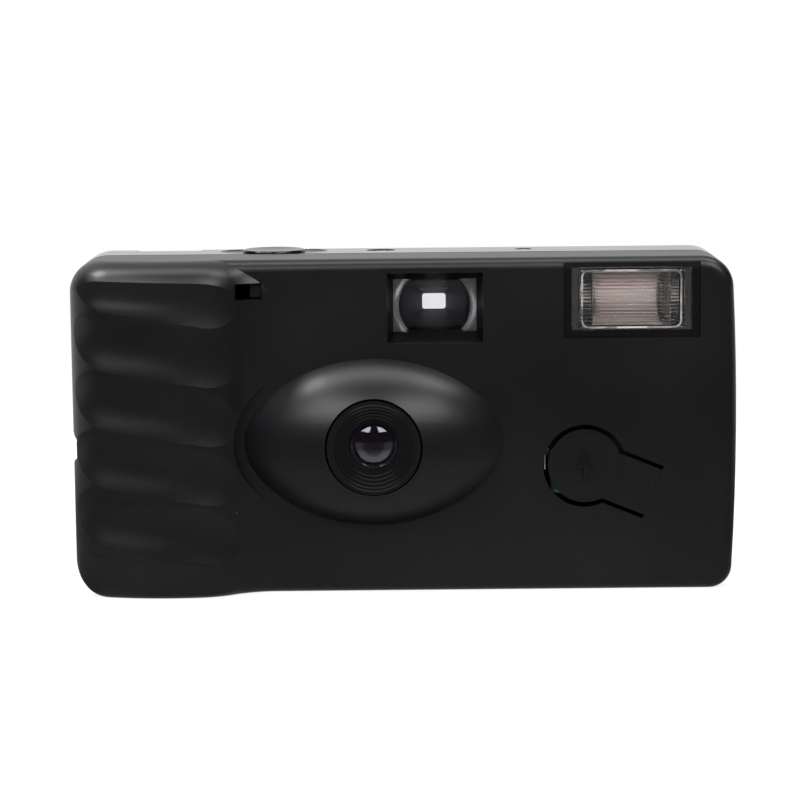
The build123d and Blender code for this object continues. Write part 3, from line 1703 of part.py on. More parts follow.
def negative_contact():
    """The contact with a pressed cone at the battery's flat end."""
    tip = battery_left_x - seat_gap
    root = battery_left_x - battery_nub_length - seat_gap
    plate = contact_plate(root - contact_thickness)
    middle = (root + tip) / 2
    cone = Pos(middle, battery_y, battery_z) * Rot(0, 90, 0) * Cone(
        battery_nub_radius, battery_nub_radius / 2, tip - root
    )
    return plate + cone


# Every node and the piece that it holds

blank = shell_blank()
nodes = {
    "front_shell": front_shell(blank),
    "rear_shell": rear_shell(blank),
    "film_door": film_door(),
    "lens_ring": lens_ring(),
    "taking_lens": taking_lens(),
    "lens_baffle": lens_baffle(),
    "shutter_cover": shutter_cover(),
    "shutter_blade": shutter_blade(),
    "shutter_spring": shutter_spring(),
    "striker": striker(),
    "striker_spring": striker_spring(),
    "metering_lever": metering_lever(),
    "chassis": chassis(),
    "film_sprocket": film_sprocket(),
    "film_strip": film_strip(),
    "cassette_shell": cassette_shell(),
    "cassette_top_cap": cassette_cap(1),
    "cassette_bottom_cap": cassette_cap(-1),
    "cassette_spool": cassette_spool(),
    "wound_film": wound_film(),
    "thumb_wheel": thumb_wheel(),
    "supply_spool": supply_spool(),
    "supply_roll": supply_roll(),
    "shutter_button": shutter_button(),
    "counter_dial": counter_dial(),
    "counter_window": counter_window(),
    "finder_front_lens": finder_front_lens(),
    "finder_tunnel": finder_tunnel(),
    "eyepiece": eyepiece(),
    "flash_window": flash_window(),
    "flash_reflector": flash_reflector(),
    "flash_tube": flash_tube(),
    "tube_electrodes": tube_electrodes(),
    "flash_board": flash_board(),
    "flash_capacitor": flash_capacitor(),
    "flash_transformer": flash_transformer(),
    "trigger_coil": trigger_coil(),
    "ready_lamp": ready_lamp(),
    "light_pipe": light_pipe(),
    "flash_button": flash_button(),
    "switch_leaf": switch_leaf(),
    "battery": battery(),
    "positive_contact": positive_contact(),
    "negative_contact": negative_contact(),
}
os.makedirs("parts", exist_ok=True)
for name, piece in nodes.items():
    save(piece, name)
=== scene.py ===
from math import cos, pi, radians, sin

import bpy
from mathutils import Matrix, Vector


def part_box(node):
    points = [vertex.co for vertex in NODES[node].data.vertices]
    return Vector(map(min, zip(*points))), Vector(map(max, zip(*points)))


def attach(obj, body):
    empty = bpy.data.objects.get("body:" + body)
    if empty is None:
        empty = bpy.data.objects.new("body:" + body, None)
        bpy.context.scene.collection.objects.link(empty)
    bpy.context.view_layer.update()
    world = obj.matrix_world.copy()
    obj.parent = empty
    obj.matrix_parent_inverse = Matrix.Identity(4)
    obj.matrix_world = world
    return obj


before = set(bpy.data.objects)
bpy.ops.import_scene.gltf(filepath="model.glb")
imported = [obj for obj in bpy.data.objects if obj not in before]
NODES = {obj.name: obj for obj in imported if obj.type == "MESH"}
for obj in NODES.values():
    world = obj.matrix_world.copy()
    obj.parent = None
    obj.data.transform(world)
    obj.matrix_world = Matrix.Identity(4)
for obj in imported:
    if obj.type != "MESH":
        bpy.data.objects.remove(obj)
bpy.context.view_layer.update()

bl_info = {
    "name": "Disposable film camera",
    "version": (1, 0, 0),
    "blender": (4, 5, 0),
    "location": "3D View > Sidebar > Camera part",
    "description": "Finishes and fine pieces of a single-use film camera on its packed frame",
    "category": "Object",
}


def mm(value):
    """Metres from millimetres."""
    return value / 1000.0


# Shader sums

class Value:
    """A shader socket that can be used in Python sums."""

    def __init__(self, finish, socket):
        self.finish = finish
        self.socket = socket

    def sum(self, operation, first, second=0.0):
        return self.finish.add("ShaderNodeMath", {"operation": operation}, {0: first, 1: second})

    def __add__(self, other):
        return self.sum("ADD", self, other)

    __radd__ = __add__

    def __sub__(self, other):
        return self.sum("SUBTRACT", self, other)

    def __rsub__(self, other):
        return self.sum("SUBTRACT", other, self)

    def __mul__(self, other):
        return self.sum("MULTIPLY", self, other)

    __rmul__ = __mul__

    def __truediv__(self, other):
        return self.sum("DIVIDE", self, other)

    def __rtruediv__(self, other):
        return self.sum("DIVIDE", other, self)

    def __pow__(self, other):
        return self.sum("POWER", self, other)

    def __gt__(self, other):
        return self.sum("GREATER_THAN", self, other)

    def __lt__(self, other):
        return self.sum("LESS_THAN", self, other)

    def __mod__(self, other):
        return self.sum("MODULO", self, other)

    def __abs__(self):
        return self.sum("ABSOLUTE", self)

    def sine(self):
        return self.sum("SINE", self)

    def cosine(self):
        return self.sum("COSINE", self)

    def largest(self, other):
        return self.sum("MAXIMUM", self, other)

    def ramp(self, low, high, out_low=0.0, out_high=1.0):
        """A smooth step from one level to another."""
        return self.finish.add(
            "ShaderNodeMapRange",
            {"interpolation_type": "SMOOTHSTEP"},
            {
                "Value": self,
                "From Min": low,
                "From Max": high,
                "To Min": out_low,
                "To Max": out_high,
            },
        )


class Finish:
    """One material, or the world, built node by node."""

    def __init__(self, name, world=None):
        self.holder = world or bpy.data.materials.new(name)
        self.holder.use_nodes = True
        self.tree = self.holder.node_tree
        self.tree.nodes.clear()
        self.place = None

    def node(self, kind, settings=None, inputs=None):
        """A node with its settings first and then the values or links of its sockets."""
        node = self.tree.nodes.new(kind)
        for key, value in (settings or {}).items():
            setattr(node, key, value)
        for key, value in (inputs or {}).items():
            socket = node.inputs[key]
            if isinstance(value, Value):
                self.tree.links.new(value.socket, socket)
            elif socket.type == "RGBA" and len(value) == 3:
                socket.default_value = (*value, 1.0)
            else:
                socket.default_value = value
        return node

    def add(self, kind, settings=None, inputs=None, output=0):
        """One output of a new node."""
        return Value(self, self.node(kind, settings, inputs).outputs[output])

    def where(self):
        """Object coordinates, in metres from the part's origin."""
        if self.place is None:
            self.place = self.add("ShaderNodeTexCoord", output="Object")
        return self.place

    def axes(self):
        """The three coordinates as single values."""
        node = self.node("ShaderNodeSeparateXYZ", None, {0: self.where()})
        return [Value(self, output) for output in node.outputs]

    def mapped(self, scale, turn=(0.0, 0.0, 0.0)):
        """Object coordinates stretched or turned."""
        return self.add(
            "ShaderNodeMapping",
            None,
            {"Vector": self.where(), "Rotation": turn, "Scale": scale},
        )

    def noise(self, scale, detail=3.0, vector=None):
        return self.add(
            "ShaderNodeTexNoise",
            None,
            {"Vector": vector or self.where(), "Scale": scale, "Detail": detail},
        )

    def cells(self, scale):
        return self.add(
            "ShaderNodeTexVoronoi", {"feature": "F1"}, {"Vector": self.where(), "Scale": scale}
        )

    def blend(self, share, first, second):
        """Two colours mixed by a share."""
        return self.add(
            "ShaderNodeMix",
            {"data_type": "RGBA"},
            {0: share, 6: first, 7: second},
            output=2,
        )

    def bump(self, height, strength, distance, under=None):
        """A shaded relief, perhaps on top of another one."""
        inputs = {"Height": height, "Strength": strength, "Distance": distance}
        if under is not None:
            inputs["Normal"] = under
        return self.add("ShaderNodeBump", None, inputs)

    def surface(self, shader, output="ShaderNodeOutputMaterial"):
        self.node(output, None, {"Surface": shader})
        return self.holder

    def principled(self, **sockets):
        inputs = {}
        for key, value in sockets.items():
            inputs[key.replace("_", " ")] = value
        return self.add("ShaderNodeBsdfPrincipled", None, inputs)

    def clear(self, shader):
        """Lets lamps shine through a clear piece, whose own shader is given."""
        shadow = self.add("ShaderNodeLightPath", output="Is Shadow Ray")
        through = self.add("ShaderNodeBsdfTransparent")
        return self.add("ShaderNodeMixShader", None, {0: shadow, 1: shader, 2: through})


# Materials, in the words of the finishes that they stand for

def moulded_plastic(
    name,
    colour,
    roughness,
    grain=1.0,
    specks=1.0,
    gloss=0.28,
    seam=None,
    relief=None,
    recess_shade=None,
):
    """Moulded plastic with a fine grain, faint flow clouds and a few specks.

    The seam is the place along Y of a dark line round the piece. Relief gives a height in
    millimetres, shaded under the grain. On a piece with a seam, one more function gives a
    share of painted shade, black mixed over the plastic where its hollows and openings lie.
    """
    finish = Finish(name)
    cloud = finish.noise(42.0, 4.0)
    fine = finish.noise(5200.0, 2.0)
    coarse = finish.noise(900.0, 3.0)
    lighter = [min(1.0, part * 1.3 + 0.0003) for part in colour]
    tone = finish.blend(cloud.ramp(0.35, 0.72), colour, lighter)
    dust = finish.cells(420.0)
    pick = finish.noise(150.0, 1.0)
    speck = dust.ramp(0.07, 0.03) * pick.ramp(0.62, 0.7) * (0.5 * specks)
    tone = finish.blend(speck, tone, (0.09, 0.09, 0.095))
    rough = roughness + (cloud - 0.5) * 0.1 + (coarse - 0.5) * 0.06 + speck * 0.2
    height = fine * 0.6 + coarse * 0.9
    under = finish.bump(relief(finish), 1.0, mm(1.0)) if relief else None
    normal = finish.bump(height, 0.22 * grain, mm(0.03), under)
    shader = finish.principled(
        Base_Color=tone, Roughness=rough, IOR=1.46, Specular_IOR_Level=gloss, Normal=normal
    )
    if seam is not None:
        along = finish.axes()[1]
        line_dark, line_end = mm(0.25), mm(0.4)
        share = abs(along - seam).ramp(line_dark, line_end, 1.0, 0.0)
        # Painted shade: black mixed into the front's hollows and openings, besides the dark seam
        # line
        if recess_shade:
            share = share.largest(recess_shade(finish))
        shade = finish.add("ShaderNodeBsdfDiffuse", None, {"Color": (0.002, 0.002, 0.002)})
        shader = finish.add("ShaderNodeMixShader", None, {0: share, 1: shader, 2: shade})
    return finish.surface(shader)


def soft_crests(finish):
    """Rounds the crests between the finger grooves, as a height in millimetres.

    The height fills each groove of the CAD, an arc, and takes a round wave out of the same place.
    """
    x, y, z = finish.axes()
    pitch, depth, arc_radius, round_depth = 10.18, 0.55, 20.4, 0.64
    first_height, level_x, slope = 1.9, mm(-40.5), 0.1051
    # Ten pitches more keep the count above zero, below which a shader's remainder turns round
    groove = (z + (x - level_x) * slope) / mm(pitch) + (10 - first_height / pitch)
    from_crest = abs(groove % 1.0 - 0.5) * pitch
    cut = (depth - (pitch / 2 - from_crest) ** 2.0 / (2 * arc_radius)).largest(0.0)
    wave = (1.0 - (from_crest * (2 * pi / pitch)).cosine()) * (round_depth / 2)
    across = x.ramp(mm(-55.5), mm(-52.5)) * x.ramp(mm(-35.0), mm(-43.0))
    below_top = z.ramp(mm(53.0), mm(50.0))
    in_front = y < mm(-6.0)
    return (cut - wave) * across * below_top * in_front


def recesses(finish):
    """A share of painted shade, black laid behind the front face, in its hollows and openings."""
    x, y, z = finish.axes()
    behind_face = y > mm(-9.5)
    in_width = abs(x - mm(8.0)) < mm(46.0)
    in_height = abs(z - mm(29.0)) < mm(27.0)
    lost = 0.6
    return behind_face * in_width * in_height * lost


def clear_plastic(name, colour, roughness, ior=1.49):
    """Polished clear plastic with slight sink waves."""
    finish = Finish(name)
    wave = finish.noise(260.0, 1.0)
    normal = finish.bump(wave, 0.05, mm(0.2))
    rough = roughness + finish.noise(700.0, 2.0).ramp(0.5, 0.8) * 0.03
    shader = finish.principled(
        Base_Color=colour, Roughness=rough, IOR=ior, Transmission_Weight=1.0, Normal=normal
    )
    return finish.surface(finish.clear(shader))


def plain_metal(name, colour, roughness, brush=(1.0, 1.0, 1.0), brush_scale=900.0, depth=0.12):
    """Bare metal with a rolled or drawn grain."""
    finish = Finish(name)
    grain = finish.noise(brush_scale, 3.0, finish.mapped(brush))
    cloud = finish.noise(120.0, 3.0)
    darker = [part * 0.72 for part in colour]
    tone = finish.blend(cloud.ramp(0.3, 0.75), colour, darker)
    rough = roughness + (grain - 0.5) * 0.2
    normal = finish.bump(grain, depth, mm(0.03))
    shader = finish.principled(Base_Color=tone, Metallic=1.0, Roughness=rough, Normal=normal)
    return finish.surface(shader)


def film_layers(name, axis_x, axis_y):
    """Turns of film seen on the ends of a roll, glossy on its side."""
    finish = Finish(name)
    x, y, z = finish.axes()
    turn_spacing = mm(0.28)
    radius = ((x - axis_x) ** 2.0 + (y - axis_y) ** 2.0) ** 0.5
    turns = (radius * (2 * pi / turn_spacing)).sine()
    cloud = finish.noise(90.0, 2.0)
    tone = finish.blend(turns.ramp(-0.6, 0.8), (0.12, 0.085, 0.07), (0.27, 0.2, 0.165))
    tone = finish.blend(cloud.ramp(0.4, 0.8) * 0.35, tone, (0.09, 0.06, 0.055))
    normal = finish.bump(turns, 0.15, mm(0.04))
    shader = finish.principled(
        Base_Color=tone, Roughness=0.24 + cloud * 0.1, IOR=1.5, Normal=normal
    )
    return finish.surface(shader)


def assign(material, *nodes):
    """Gives a material to carried CAD nodes."""
    for node in nodes:
        slots = NODES[node].material_slots
        for entry in slots:
            entry.material = material
        if not slots:
            NODES[node].data.materials.append(material)


# Modelling helpers

def clear_selection():
    """Deselects all objects, so that an operator acts on new geometry alone."""
    bpy.ops.object.select_all(action="DESELECT")


def settle(piece, name, body, material):
    """Applies a piece's place, names it, dresses it and lets it ride on its body."""
    clear_selection()
    piece.select_set(True)
    bpy.context.view_layer.objects.active = piece
    bpy.ops.object.transform_apply(location=True, rotation=True, scale=True)
    piece.name = name
    piece.data.name = name
    piece.data.materials.clear()
    piece.data.materials.append(material)
    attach(piece, body)


def soften(piece, width):
    """A small bevel on sharp edges, then smooth shading."""
    sharp = radians(30.0)
    clear_selection()
    piece.select_set(True)
    bpy.context.view_layer.objects.active = piece
    bevel = piece.modifiers.new("edge", "BEVEL")
    bevel.width = width
    bevel.segments = 2
    bevel.limit_method = "ANGLE"
    bevel.angle_limit = sharp
    bpy.ops.object.modifier_apply(modifier=bevel.name)
    bpy.ops.object.shade_smooth_by_angle(angle=sharp)


# Settings

class CoverSettings(bpy.types.PropertyGroup):
    """The covers' plastic"""

    colour: bpy.props.FloatVectorProperty(
        name="Cover colour",
        description="Colour of the moulded covers",
        subtype="COLOR",
        default=(0.0026, 0.0026, 0.0032),
        min=0.0,
        max=1.0,
    )
    front_roughness: bpy.props.FloatProperty(
        name="Front roughness",
        description="How matt the front cover is",
        default=0.36,
        min=0.0,
        max=1.0,
    )
    rear_roughness: bpy.props.FloatProperty(
        name="Rear roughness",
        description="How matt the rear cover is",
        default=0.15,
        min=0.0,
        max=1.0,
    )
    ring_roughness: bpy.props.FloatProperty(
        name="Ring roughness",
        description="How matt the lens ring, the shutter button and the thumb wheel are",
        default=0.2,
        min=0.0,
        max=1.0,
    )


class OpticsSettings(bpy.types.PropertyGroup):
    """The taking lens"""

    lens_colour: bpy.props.FloatVectorProperty(
        name="Lens colour",
        description="Tint of the taking lens",
        subtype="COLOR",
        default=(0.1, 0.092, 0.12),
        min=0.0,
        max=1.0,
    )
    lens_index: bpy.props.FloatProperty(
        name="Lens index",
        description="Index of refraction of the taking lens",
        default=1.6,
        min=1.0,
        max=2.0,
    )


class FlashSettings(bpy.types.PropertyGroup):
    """The reflector and the mark on the flash button"""

    metal_colour: bpy.props.FloatVectorProperty(
        name="Reflector colour",
        description="Colour of the reflector's bright metal",
        subtype="COLOR",
        default=(0.36, 0.305, 0.285),
        min=0.0,
        max=1.0,
    )
    mark_height: bpy.props.FloatProperty(
        name="Mark height",
        description="Height of the bolt on the flash button",
        subtype="DISTANCE",
        unit="LENGTH",
        default=mm(5.6),
    )
    mark_relief: bpy.props.FloatProperty(
        name="Mark relief",
        description="How far the bolt stands proud",
        subtype="DISTANCE",
        unit="LENGTH",
        default=mm(0.1),
    )


class StageSettings(bpy.types.PropertyGroup):
    """Lamps, room and camera"""

    front_power: bpy.props.FloatProperty(
        name="Front lamps",
        description="Power of each of the two soft lamps in front, left and right",
        unit="POWER",
        default=7.0,
    )
    top_power: bpy.props.FloatProperty(
        name="Top lamp",
        description="Power of the wide soft lamp overhead",
        unit="POWER",
        default=5.6,
    )
    spot_power: bpy.props.FloatProperty(
        name="Spot power",
        description="Power of the small lamp at the right end of the overhead one",
        unit="POWER",
        default=2.3,
        min=0.0,
    )
    spot_balance: bpy.props.FloatProperty(
        name="Spot balance",
        description="How many times stronger the small lamp at the left end is",
        default=3.3,
        min=0.0,
    )
    room_level: bpy.props.FloatProperty(
        name="Room level",
        description="Brightness of the plain room round the table",
        default=0.3,
        min=0.0,
    )
    gloss_level: bpy.props.FloatProperty(
        name="Gloss level",
        description="Brightness of the room as glossy surfaces mirror it",
        default=0.03,
        min=0.0,
    )
    camera_distance: bpy.props.FloatProperty(
        name="Camera distance",
        description="From the camera to the middle of the object",
        subtype="DISTANCE",
        unit="LENGTH",
        default=0.5,
    )
    camera_elevation: bpy.props.FloatProperty(
        name="Camera elevation",
        description="How far above the horizon the camera stands",
        subtype="ANGLE",
        unit="ROTATION",
        default=radians(8.0),
    )
    camera_lens: bpy.props.FloatProperty(
        name="Camera lens",
        description="Focal length in millimetres on a sensor 36 mm wide",
        default=127.96,
    )
    camera_roll: bpy.props.FloatProperty(
        name="Camera roll",
        description="How far the camera is turned clockwise",
        subtype="ANGLE",
        unit="ROTATION",
        default=radians(0.55),
    )


# Stage

class CAMPART_OT_stage(bpy.types.Operator):
    """Pale floor, backdrop, soft lamps and the camera"""

    bl_idname = "campart.stage"
    bl_label = "Stage"

    def execute(self, context):
        settings = context.scene.campart_stage
        self.room(settings)
        self.surfaces()
        self.lamps(settings)
        self.camera(settings)
        context.scene.view_settings.view_transform = "Standard"
        return {"FINISHED"}

    def room(self, settings):
        """A plain grey room, dark in glossy surfaces and white to the camera and in clear ones."""
        world = bpy.data.worlds.new("plain_room")
        bpy.context.scene.world = world
        finish = Finish("plain_room", world)
        shader = self.background(finish, settings.room_level)
        for ray, level in (
            ("Is Glossy Ray", settings.gloss_level),
            ("Is Transmission Ray", 1.0),
            ("Is Camera Ray", 1.0),
        ):
            seen = finish.add("ShaderNodeLightPath", output=ray)
            other = self.background(finish, level)
            shader = finish.add("ShaderNodeMixShader", None, {0: seen, 1: shader, 2: other})
        finish.surface(shader, "ShaderNodeOutputWorld")

    def background(self, finish, level):
        """White light of one level."""
        inputs = {"Color": (1.0, 1.0, 1.0), "Strength": level}
        return finish.add("ShaderNodeBackground", None, inputs)

    def surfaces(self):
        """The table and the backdrop behind it."""
        size = 8.0
        for name, place, turn, paper in (
            ("table", (0.0, 0.0, 0.0), 0.0, self.table_paper()),
            ("backdrop", (0.0, 3.0, 3.9), pi / 2, self.backdrop_paper()),
        ):
            clear_selection()
            bpy.ops.mesh.primitive_plane_add(size=size, location=place, rotation=(turn, 0.0, 0.0))
            sheet = bpy.context.object
            sheet.name = name
            sheet.data.materials.append(paper)

    def rays(self, finish, *names):
        """One where any of the named kinds of ray looks."""
        seen = finish.add("ShaderNodeLightPath", output=names[0])
        for name in names[1:]:
            seen = seen.largest(finish.add("ShaderNodeLightPath", output=name))
        return seen

    def paper(self, finish, share, level):
        """Matt white paper mixed with a share of glow, whose brightness is the level."""
        fibre = finish.noise(300.0, 2.0)
        tone = finish.blend(fibre, (0.86, 0.86, 0.86), (0.9, 0.9, 0.9))
        matt = finish.add("ShaderNodeBsdfDiffuse", None, {"Color": tone})
        light = finish.blend(level, (0.0, 0.0, 0.0), (1.0, 1.0, 1.0))
        glow = finish.add("ShaderNodeEmission", None, {"Color": light, "Strength": 1.0})
        return finish.surface(finish.add("ShaderNodeMixShader", None, {0: share, 1: matt, 2: glow}))

    def table_paper(self):
        """White to the camera and in clear things, with the object's shadow kept near it.

        In glossy surfaces it is white behind the object and far to its sides, and dimmed elsewhere.
        """
        finish = Finish("table_paper")
        x, y, z = finish.axes()
        away = (x * x + y * y) ** 0.5
        looked_at = self.rays(finish, "Is Camera Ray", "Is Transmission Ray")
        gloss = self.rays(finish, "Is Glossy Ray")
        share = gloss.largest(looked_at * away.ramp(mm(100.0), mm(420.0), 0.84, 1.0))
        elsewhere = (y < mm(-40.0)).largest(abs(x) < mm(180.0)) * (y < mm(100.0))
        dimmed = elsewhere * away.ramp(mm(40.0), mm(110.0), 0.45, 0.86)
        level = 1.0 - gloss * (1.0 - looked_at) * dimmed
        return self.paper(finish, share, level)

    def backdrop_paper(self):
        """Plain white to the camera and to glossy and clear things."""
        finish = Finish("backdrop_paper")
        seen = self.rays(finish, "Is Camera Ray", "Is Glossy Ray", "Is Transmission Ray")
        return self.paper(finish, seen, 1.0)

    def lamps(self, settings):
        """Two soft lamps in front, a wide one overhead and a small one at each end of it."""
        left_power = settings.spot_power * settings.spot_balance
        target = Vector((0.0, 0.0, mm(30.0)))
        for name, place, width, height, power in (
            ("left_lamp", (-0.38, -0.6, 0.62), 0.56, 0.4, settings.front_power),
            ("right_lamp", (0.38, -0.6, 0.62), 0.56, 0.4, settings.front_power),
            ("top_lamp", (0.0, 0.0, 0.9), 0.8, 0.3, settings.top_power),
            ("left_spot", (-0.52, 0.02, 0.76), 0.22, 0.24, left_power),
            ("right_spot", (0.45, -0.02, 0.8), 0.22, 0.24, settings.spot_power),
        ):
            data = bpy.data.lights.new(name, "AREA")
            data.shape = "RECTANGLE"
            data.size = width
            data.size_y = height
            data.energy = power
            lamp = bpy.data.objects.new(name, data)
            bpy.context.scene.collection.objects.link(lamp)
            lamp.location = place
            lamp.rotation_mode = "QUATERNION"
            aim = target - lamp.location
            lamp.rotation_quaternion = aim.to_track_quat("-Z", "Y")

    def camera(self, settings):
        """A long lens slightly above the object, aimed at the middle of its height."""
        low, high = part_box("front_shell")
        data = bpy.data.cameras.new("viewpoint")
        data.sensor_width = 36.0
        data.lens = settings.camera_lens
        data.shift_x = -0.005
        data.shift_y = 0.02375
        data.clip_start = 0.01
        data.dof.use_dof = False
        camera = bpy.data.objects.new("viewpoint", data)
        bpy.context.scene.collection.objects.link(camera)
        height = settings.camera_elevation
        back = Vector((0.0, -cos(height), sin(height)))
        target = Vector((0.0, 0.0, (low.z + high.z) / 2))
        camera.location = target + back * settings.camera_distance
        camera.rotation_mode = "QUATERNION"
        aim = (-back).to_track_quat("-Z", "Y")
        roll = Matrix.Rotation(-settings.camera_roll, 3, "Z").to_quaternion()
        camera.rotation_quaternion = aim @ roll
        bpy.context.scene.camera = camera


# Covers

class CAMPART_OT_covers(bpy.types.Operator):
    """Plastic of the covers, the film door, the buttons, the thumb wheel and the lens ring"""

    bl_idname = "campart.covers"
    bl_label = "Covers"

    def execute(self, context):
        settings = context.scene.campart_cover
        colour = tuple(settings.colour)
        low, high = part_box("front_shell")
        seam = high.y
        front = moulded_plastic(
            "front_plastic",
            colour,
            settings.front_roughness,
            seam=seam,
            relief=soft_crests,
            recess_shade=recesses,
        )
        assign(front, "front_shell")
        button = moulded_plastic("button_plastic", colour, settings.front_roughness)
        assign(button, "flash_button")
        rear = moulded_plastic(
            "rear_plastic", colour, settings.rear_roughness, grain=0.5, seam=seam
        )
        assign(rear, "rear_shell")
        door = moulded_plastic("door_plastic", colour, settings.rear_roughness, grain=0.5)
        assign(door, "film_door")
        satin = moulded_plastic(
            "satin_plastic", colour, settings.ring_roughness, grain=0.3, specks=0.3, gloss=0.26
        )
        assign(satin, "shutter_button", "thumb_wheel")
        assign(self.ring_plastic(colour, settings.ring_roughness), "lens_ring")
        return {"FINISHED"}

    def ring_plastic(self, colour, roughness):
        """Black, with painted highlights on the edges of its steps above and below."""
        low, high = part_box("lens_ring")
        middle = (low + high) / 2
        finish = Finish("ring_plastic")
        x, y, z = finish.axes()
        grain = finish.noise(900.0, 3.0)
        radius = ((x - middle.x) ** 2.0 + (z - middle.z) ** 2.0) ** 0.5
        tread, first_step = mm(0.6), mm(0.2)
        inner_step, outer_step = mm(4.6), mm(7.6)
        step = abs((radius - first_step) / tread % 1.0 - 0.5).ramp(0.34, 0.42)
        highlight_above_below = (abs(z - middle.z) / radius).ramp(0.7, 0.95)
        stepped = (radius < outer_step) * (radius > inner_step)
        # Painted highlight: paler thin rings on the step edges, only above and below the middle
        tone = finish.blend(step * highlight_above_below * stepped, colour, (0.014, 0.014, 0.014))
        normal = finish.bump(grain, 0.06, mm(0.03))
        shader = finish.principled(
            Base_Color=tone,
            Roughness=roughness + grain * 0.06,
            IOR=1.46,
            Specular_IOR_Level=0.32,
            Normal=normal,
        )
        return finish.surface(shader)


# Optics

class CAMPART_OT_optics(bpy.types.Operator):
    """Taking lens, viewfinder and the black plastic inside"""

    bl_idname = "campart.optics"
    bl_label = "Lens and viewfinder"

    def execute(self, context):
        settings = context.scene.campart_optics
        colour = tuple(settings.lens_colour)
        assign(self.lens_plastic(colour, settings.lens_index), "taking_lens")
        inner = moulded_plastic(
            "inner_plastic", (0.004, 0.004, 0.0045), 0.5, grain=0.8, specks=0.3, gloss=0.12
        )
        assign(inner, "lens_baffle", "shutter_cover", "chassis")
        assign(inner, "film_sprocket", "supply_spool", "cassette_spool")
        assign(self.finder_box_plastic(), "finder_tunnel")
        assign(clear_plastic("eyepiece_plastic", (0.86, 0.85, 0.88), 0.01), "eyepiece")
        assign(self.finder_lens_plastic(), "finder_front_lens")
        return {"FINISHED"}

    def lens_plastic(self, colour, index):
        """Dark clear plastic, shinier below its middle than above it and over the stop."""
        low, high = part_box("taking_lens")
        middle = (low + high) / 2
        finish = Finish("taking_lens_plastic")
        x, y, z = finish.axes()
        radius = ((x - middle.x) ** 2.0 + (z - middle.z) ** 2.0) ** 0.5
        over_stop, round_stop, shine_top = mm(1.3), mm(2.2), middle.z + mm(0.6)
        wave = finish.noise(260.0, 1.0)
        shader = finish.principled(
            Base_Color=colour,
            Roughness=0.05,
            IOR=index,
            Specular_Tint=(0.9, 0.8, 1.0),
            Coat_Weight=radius.ramp(over_stop, round_stop) * (z < shine_top),
            Coat_IOR=1.8,
            Coat_Roughness=0.02,
            Transmission_Weight=1.0,
            Normal=finish.bump(wave, 0.05, mm(0.2)),
        )
        return finish.surface(finish.clear(shader))

    def finder_box_plastic(self):
        """Black, with painted light, paler colour on its top and sides in front of the eyepiece."""
        low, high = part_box("finder_tunnel")
        middle = (low + high) / 2
        finish = Finish("finder_box_plastic")
        x, y, z = finish.axes()
        cloud = finish.noise(300.0, 2.0)
        patch_front, patch_rear = high.y - mm(9.0), high.y - mm(3.0)
        side_x, side_middle, side_half = mm(5.6), middle.z + mm(0.3), mm(2.6)
        top_z, top_half, top_share = middle.z + mm(3.2), mm(3.4), 0.8
        along = (y > patch_front) * (y < patch_rear)
        sides = (abs(x - middle.x) > side_x) * (abs(z - side_middle) < side_half)
        top = (z > top_z) * (abs(x - middle.x) < top_half) * top_share
        painted_light = along * sides.largest(top)
        # Painted light: paler colour on the top and sides in front of the eyepiece
        tone = finish.blend(painted_light, (0.0012, 0.0012, 0.0014), (0.3, 0.3, 0.33))
        normal = finish.bump(cloud, 0.05, mm(0.1))
        shader = finish.principled(
            Base_Color=tone, Roughness=0.5, IOR=1.46, Specular_IOR_Level=0.05, Normal=normal
        )
        return finish.surface(shader)

    def finder_lens_plastic(self):
        """Clear in its round hollow and frosted on the flat corners, with a painted highlight
        round the hollow and painted shade at its foot.

        The front is shaded as if it leaned a little, which moves what is seen through it.
        """
        low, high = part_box("finder_front_lens")
        middle = (low + high) / 2
        finish = Finish("finder_lens_plastic")
        x, y, z = finish.axes()
        radius = ((x - middle.x) ** 2.0 + (z - middle.z) ** 2.0) ** 0.5
        hollow, rim_radius = mm(6.4), mm(6.85)
        front_end, lean = low.y + mm(1.75), 0.07
        foot_dark, foot_end = low.z + mm(0.8), low.z + mm(1.2)
        flat = radius.ramp(hollow, hollow + mm(0.2))
        rim = abs(radius - rim_radius).ramp(mm(0.1), mm(0.5), 1.0, 0.0)
        cloud = finish.noise(500.0, 2.0)
        low_share = z.ramp(low.z + mm(1.0), middle.z + mm(2.0), 0.35, 1.0)
        streak = finish.noise(420.0, 2.0, finish.mapped((1.0, 1.0, 0.4)))
        wedge = (y < front_end) * z * lean
        normal = finish.bump(wedge, 1.0, 1.0)
        normal = finish.bump(finish.noise(260.0, 1.0), 0.04, mm(0.2), normal)
        glass = finish.principled(
            Base_Color=(0.93, 0.94, 0.95),
            Roughness=0.012 + flat * 0.3,
            IOR=1.49,
            Specular_Tint=(0.3, 0.3, 0.34),
            Transmission_Weight=1.0,
            Normal=normal,
        )
        # Painted highlight: the frost is paler in a thin ring round the hollow
        tone = finish.blend(rim * streak.ramp(0.35, 0.6), (0.06, 0.06, 0.064), (0.34, 0.34, 0.36))
        frost = finish.principled(Base_Color=tone, Roughness=0.35, IOR=1.49)
        share = flat * low_share * (0.55 + cloud * 0.4)
        mixed = finish.add("ShaderNodeMixShader", None, {0: share, 1: glass, 2: frost})
        # Painted shade: black mixed in at the lens's bottom edge
        foot = z.ramp(foot_dark, foot_end, 0.95, 0.0)
        shade = finish.add("ShaderNodeBsdfDiffuse", None, {"Color": (0.004, 0.004, 0.0045)})
        mixed = finish.add("ShaderNodeMixShader", None, {0: foot, 1: mixed, 2: shade})
        return finish.surface(finish.clear(mixed))


# Flash

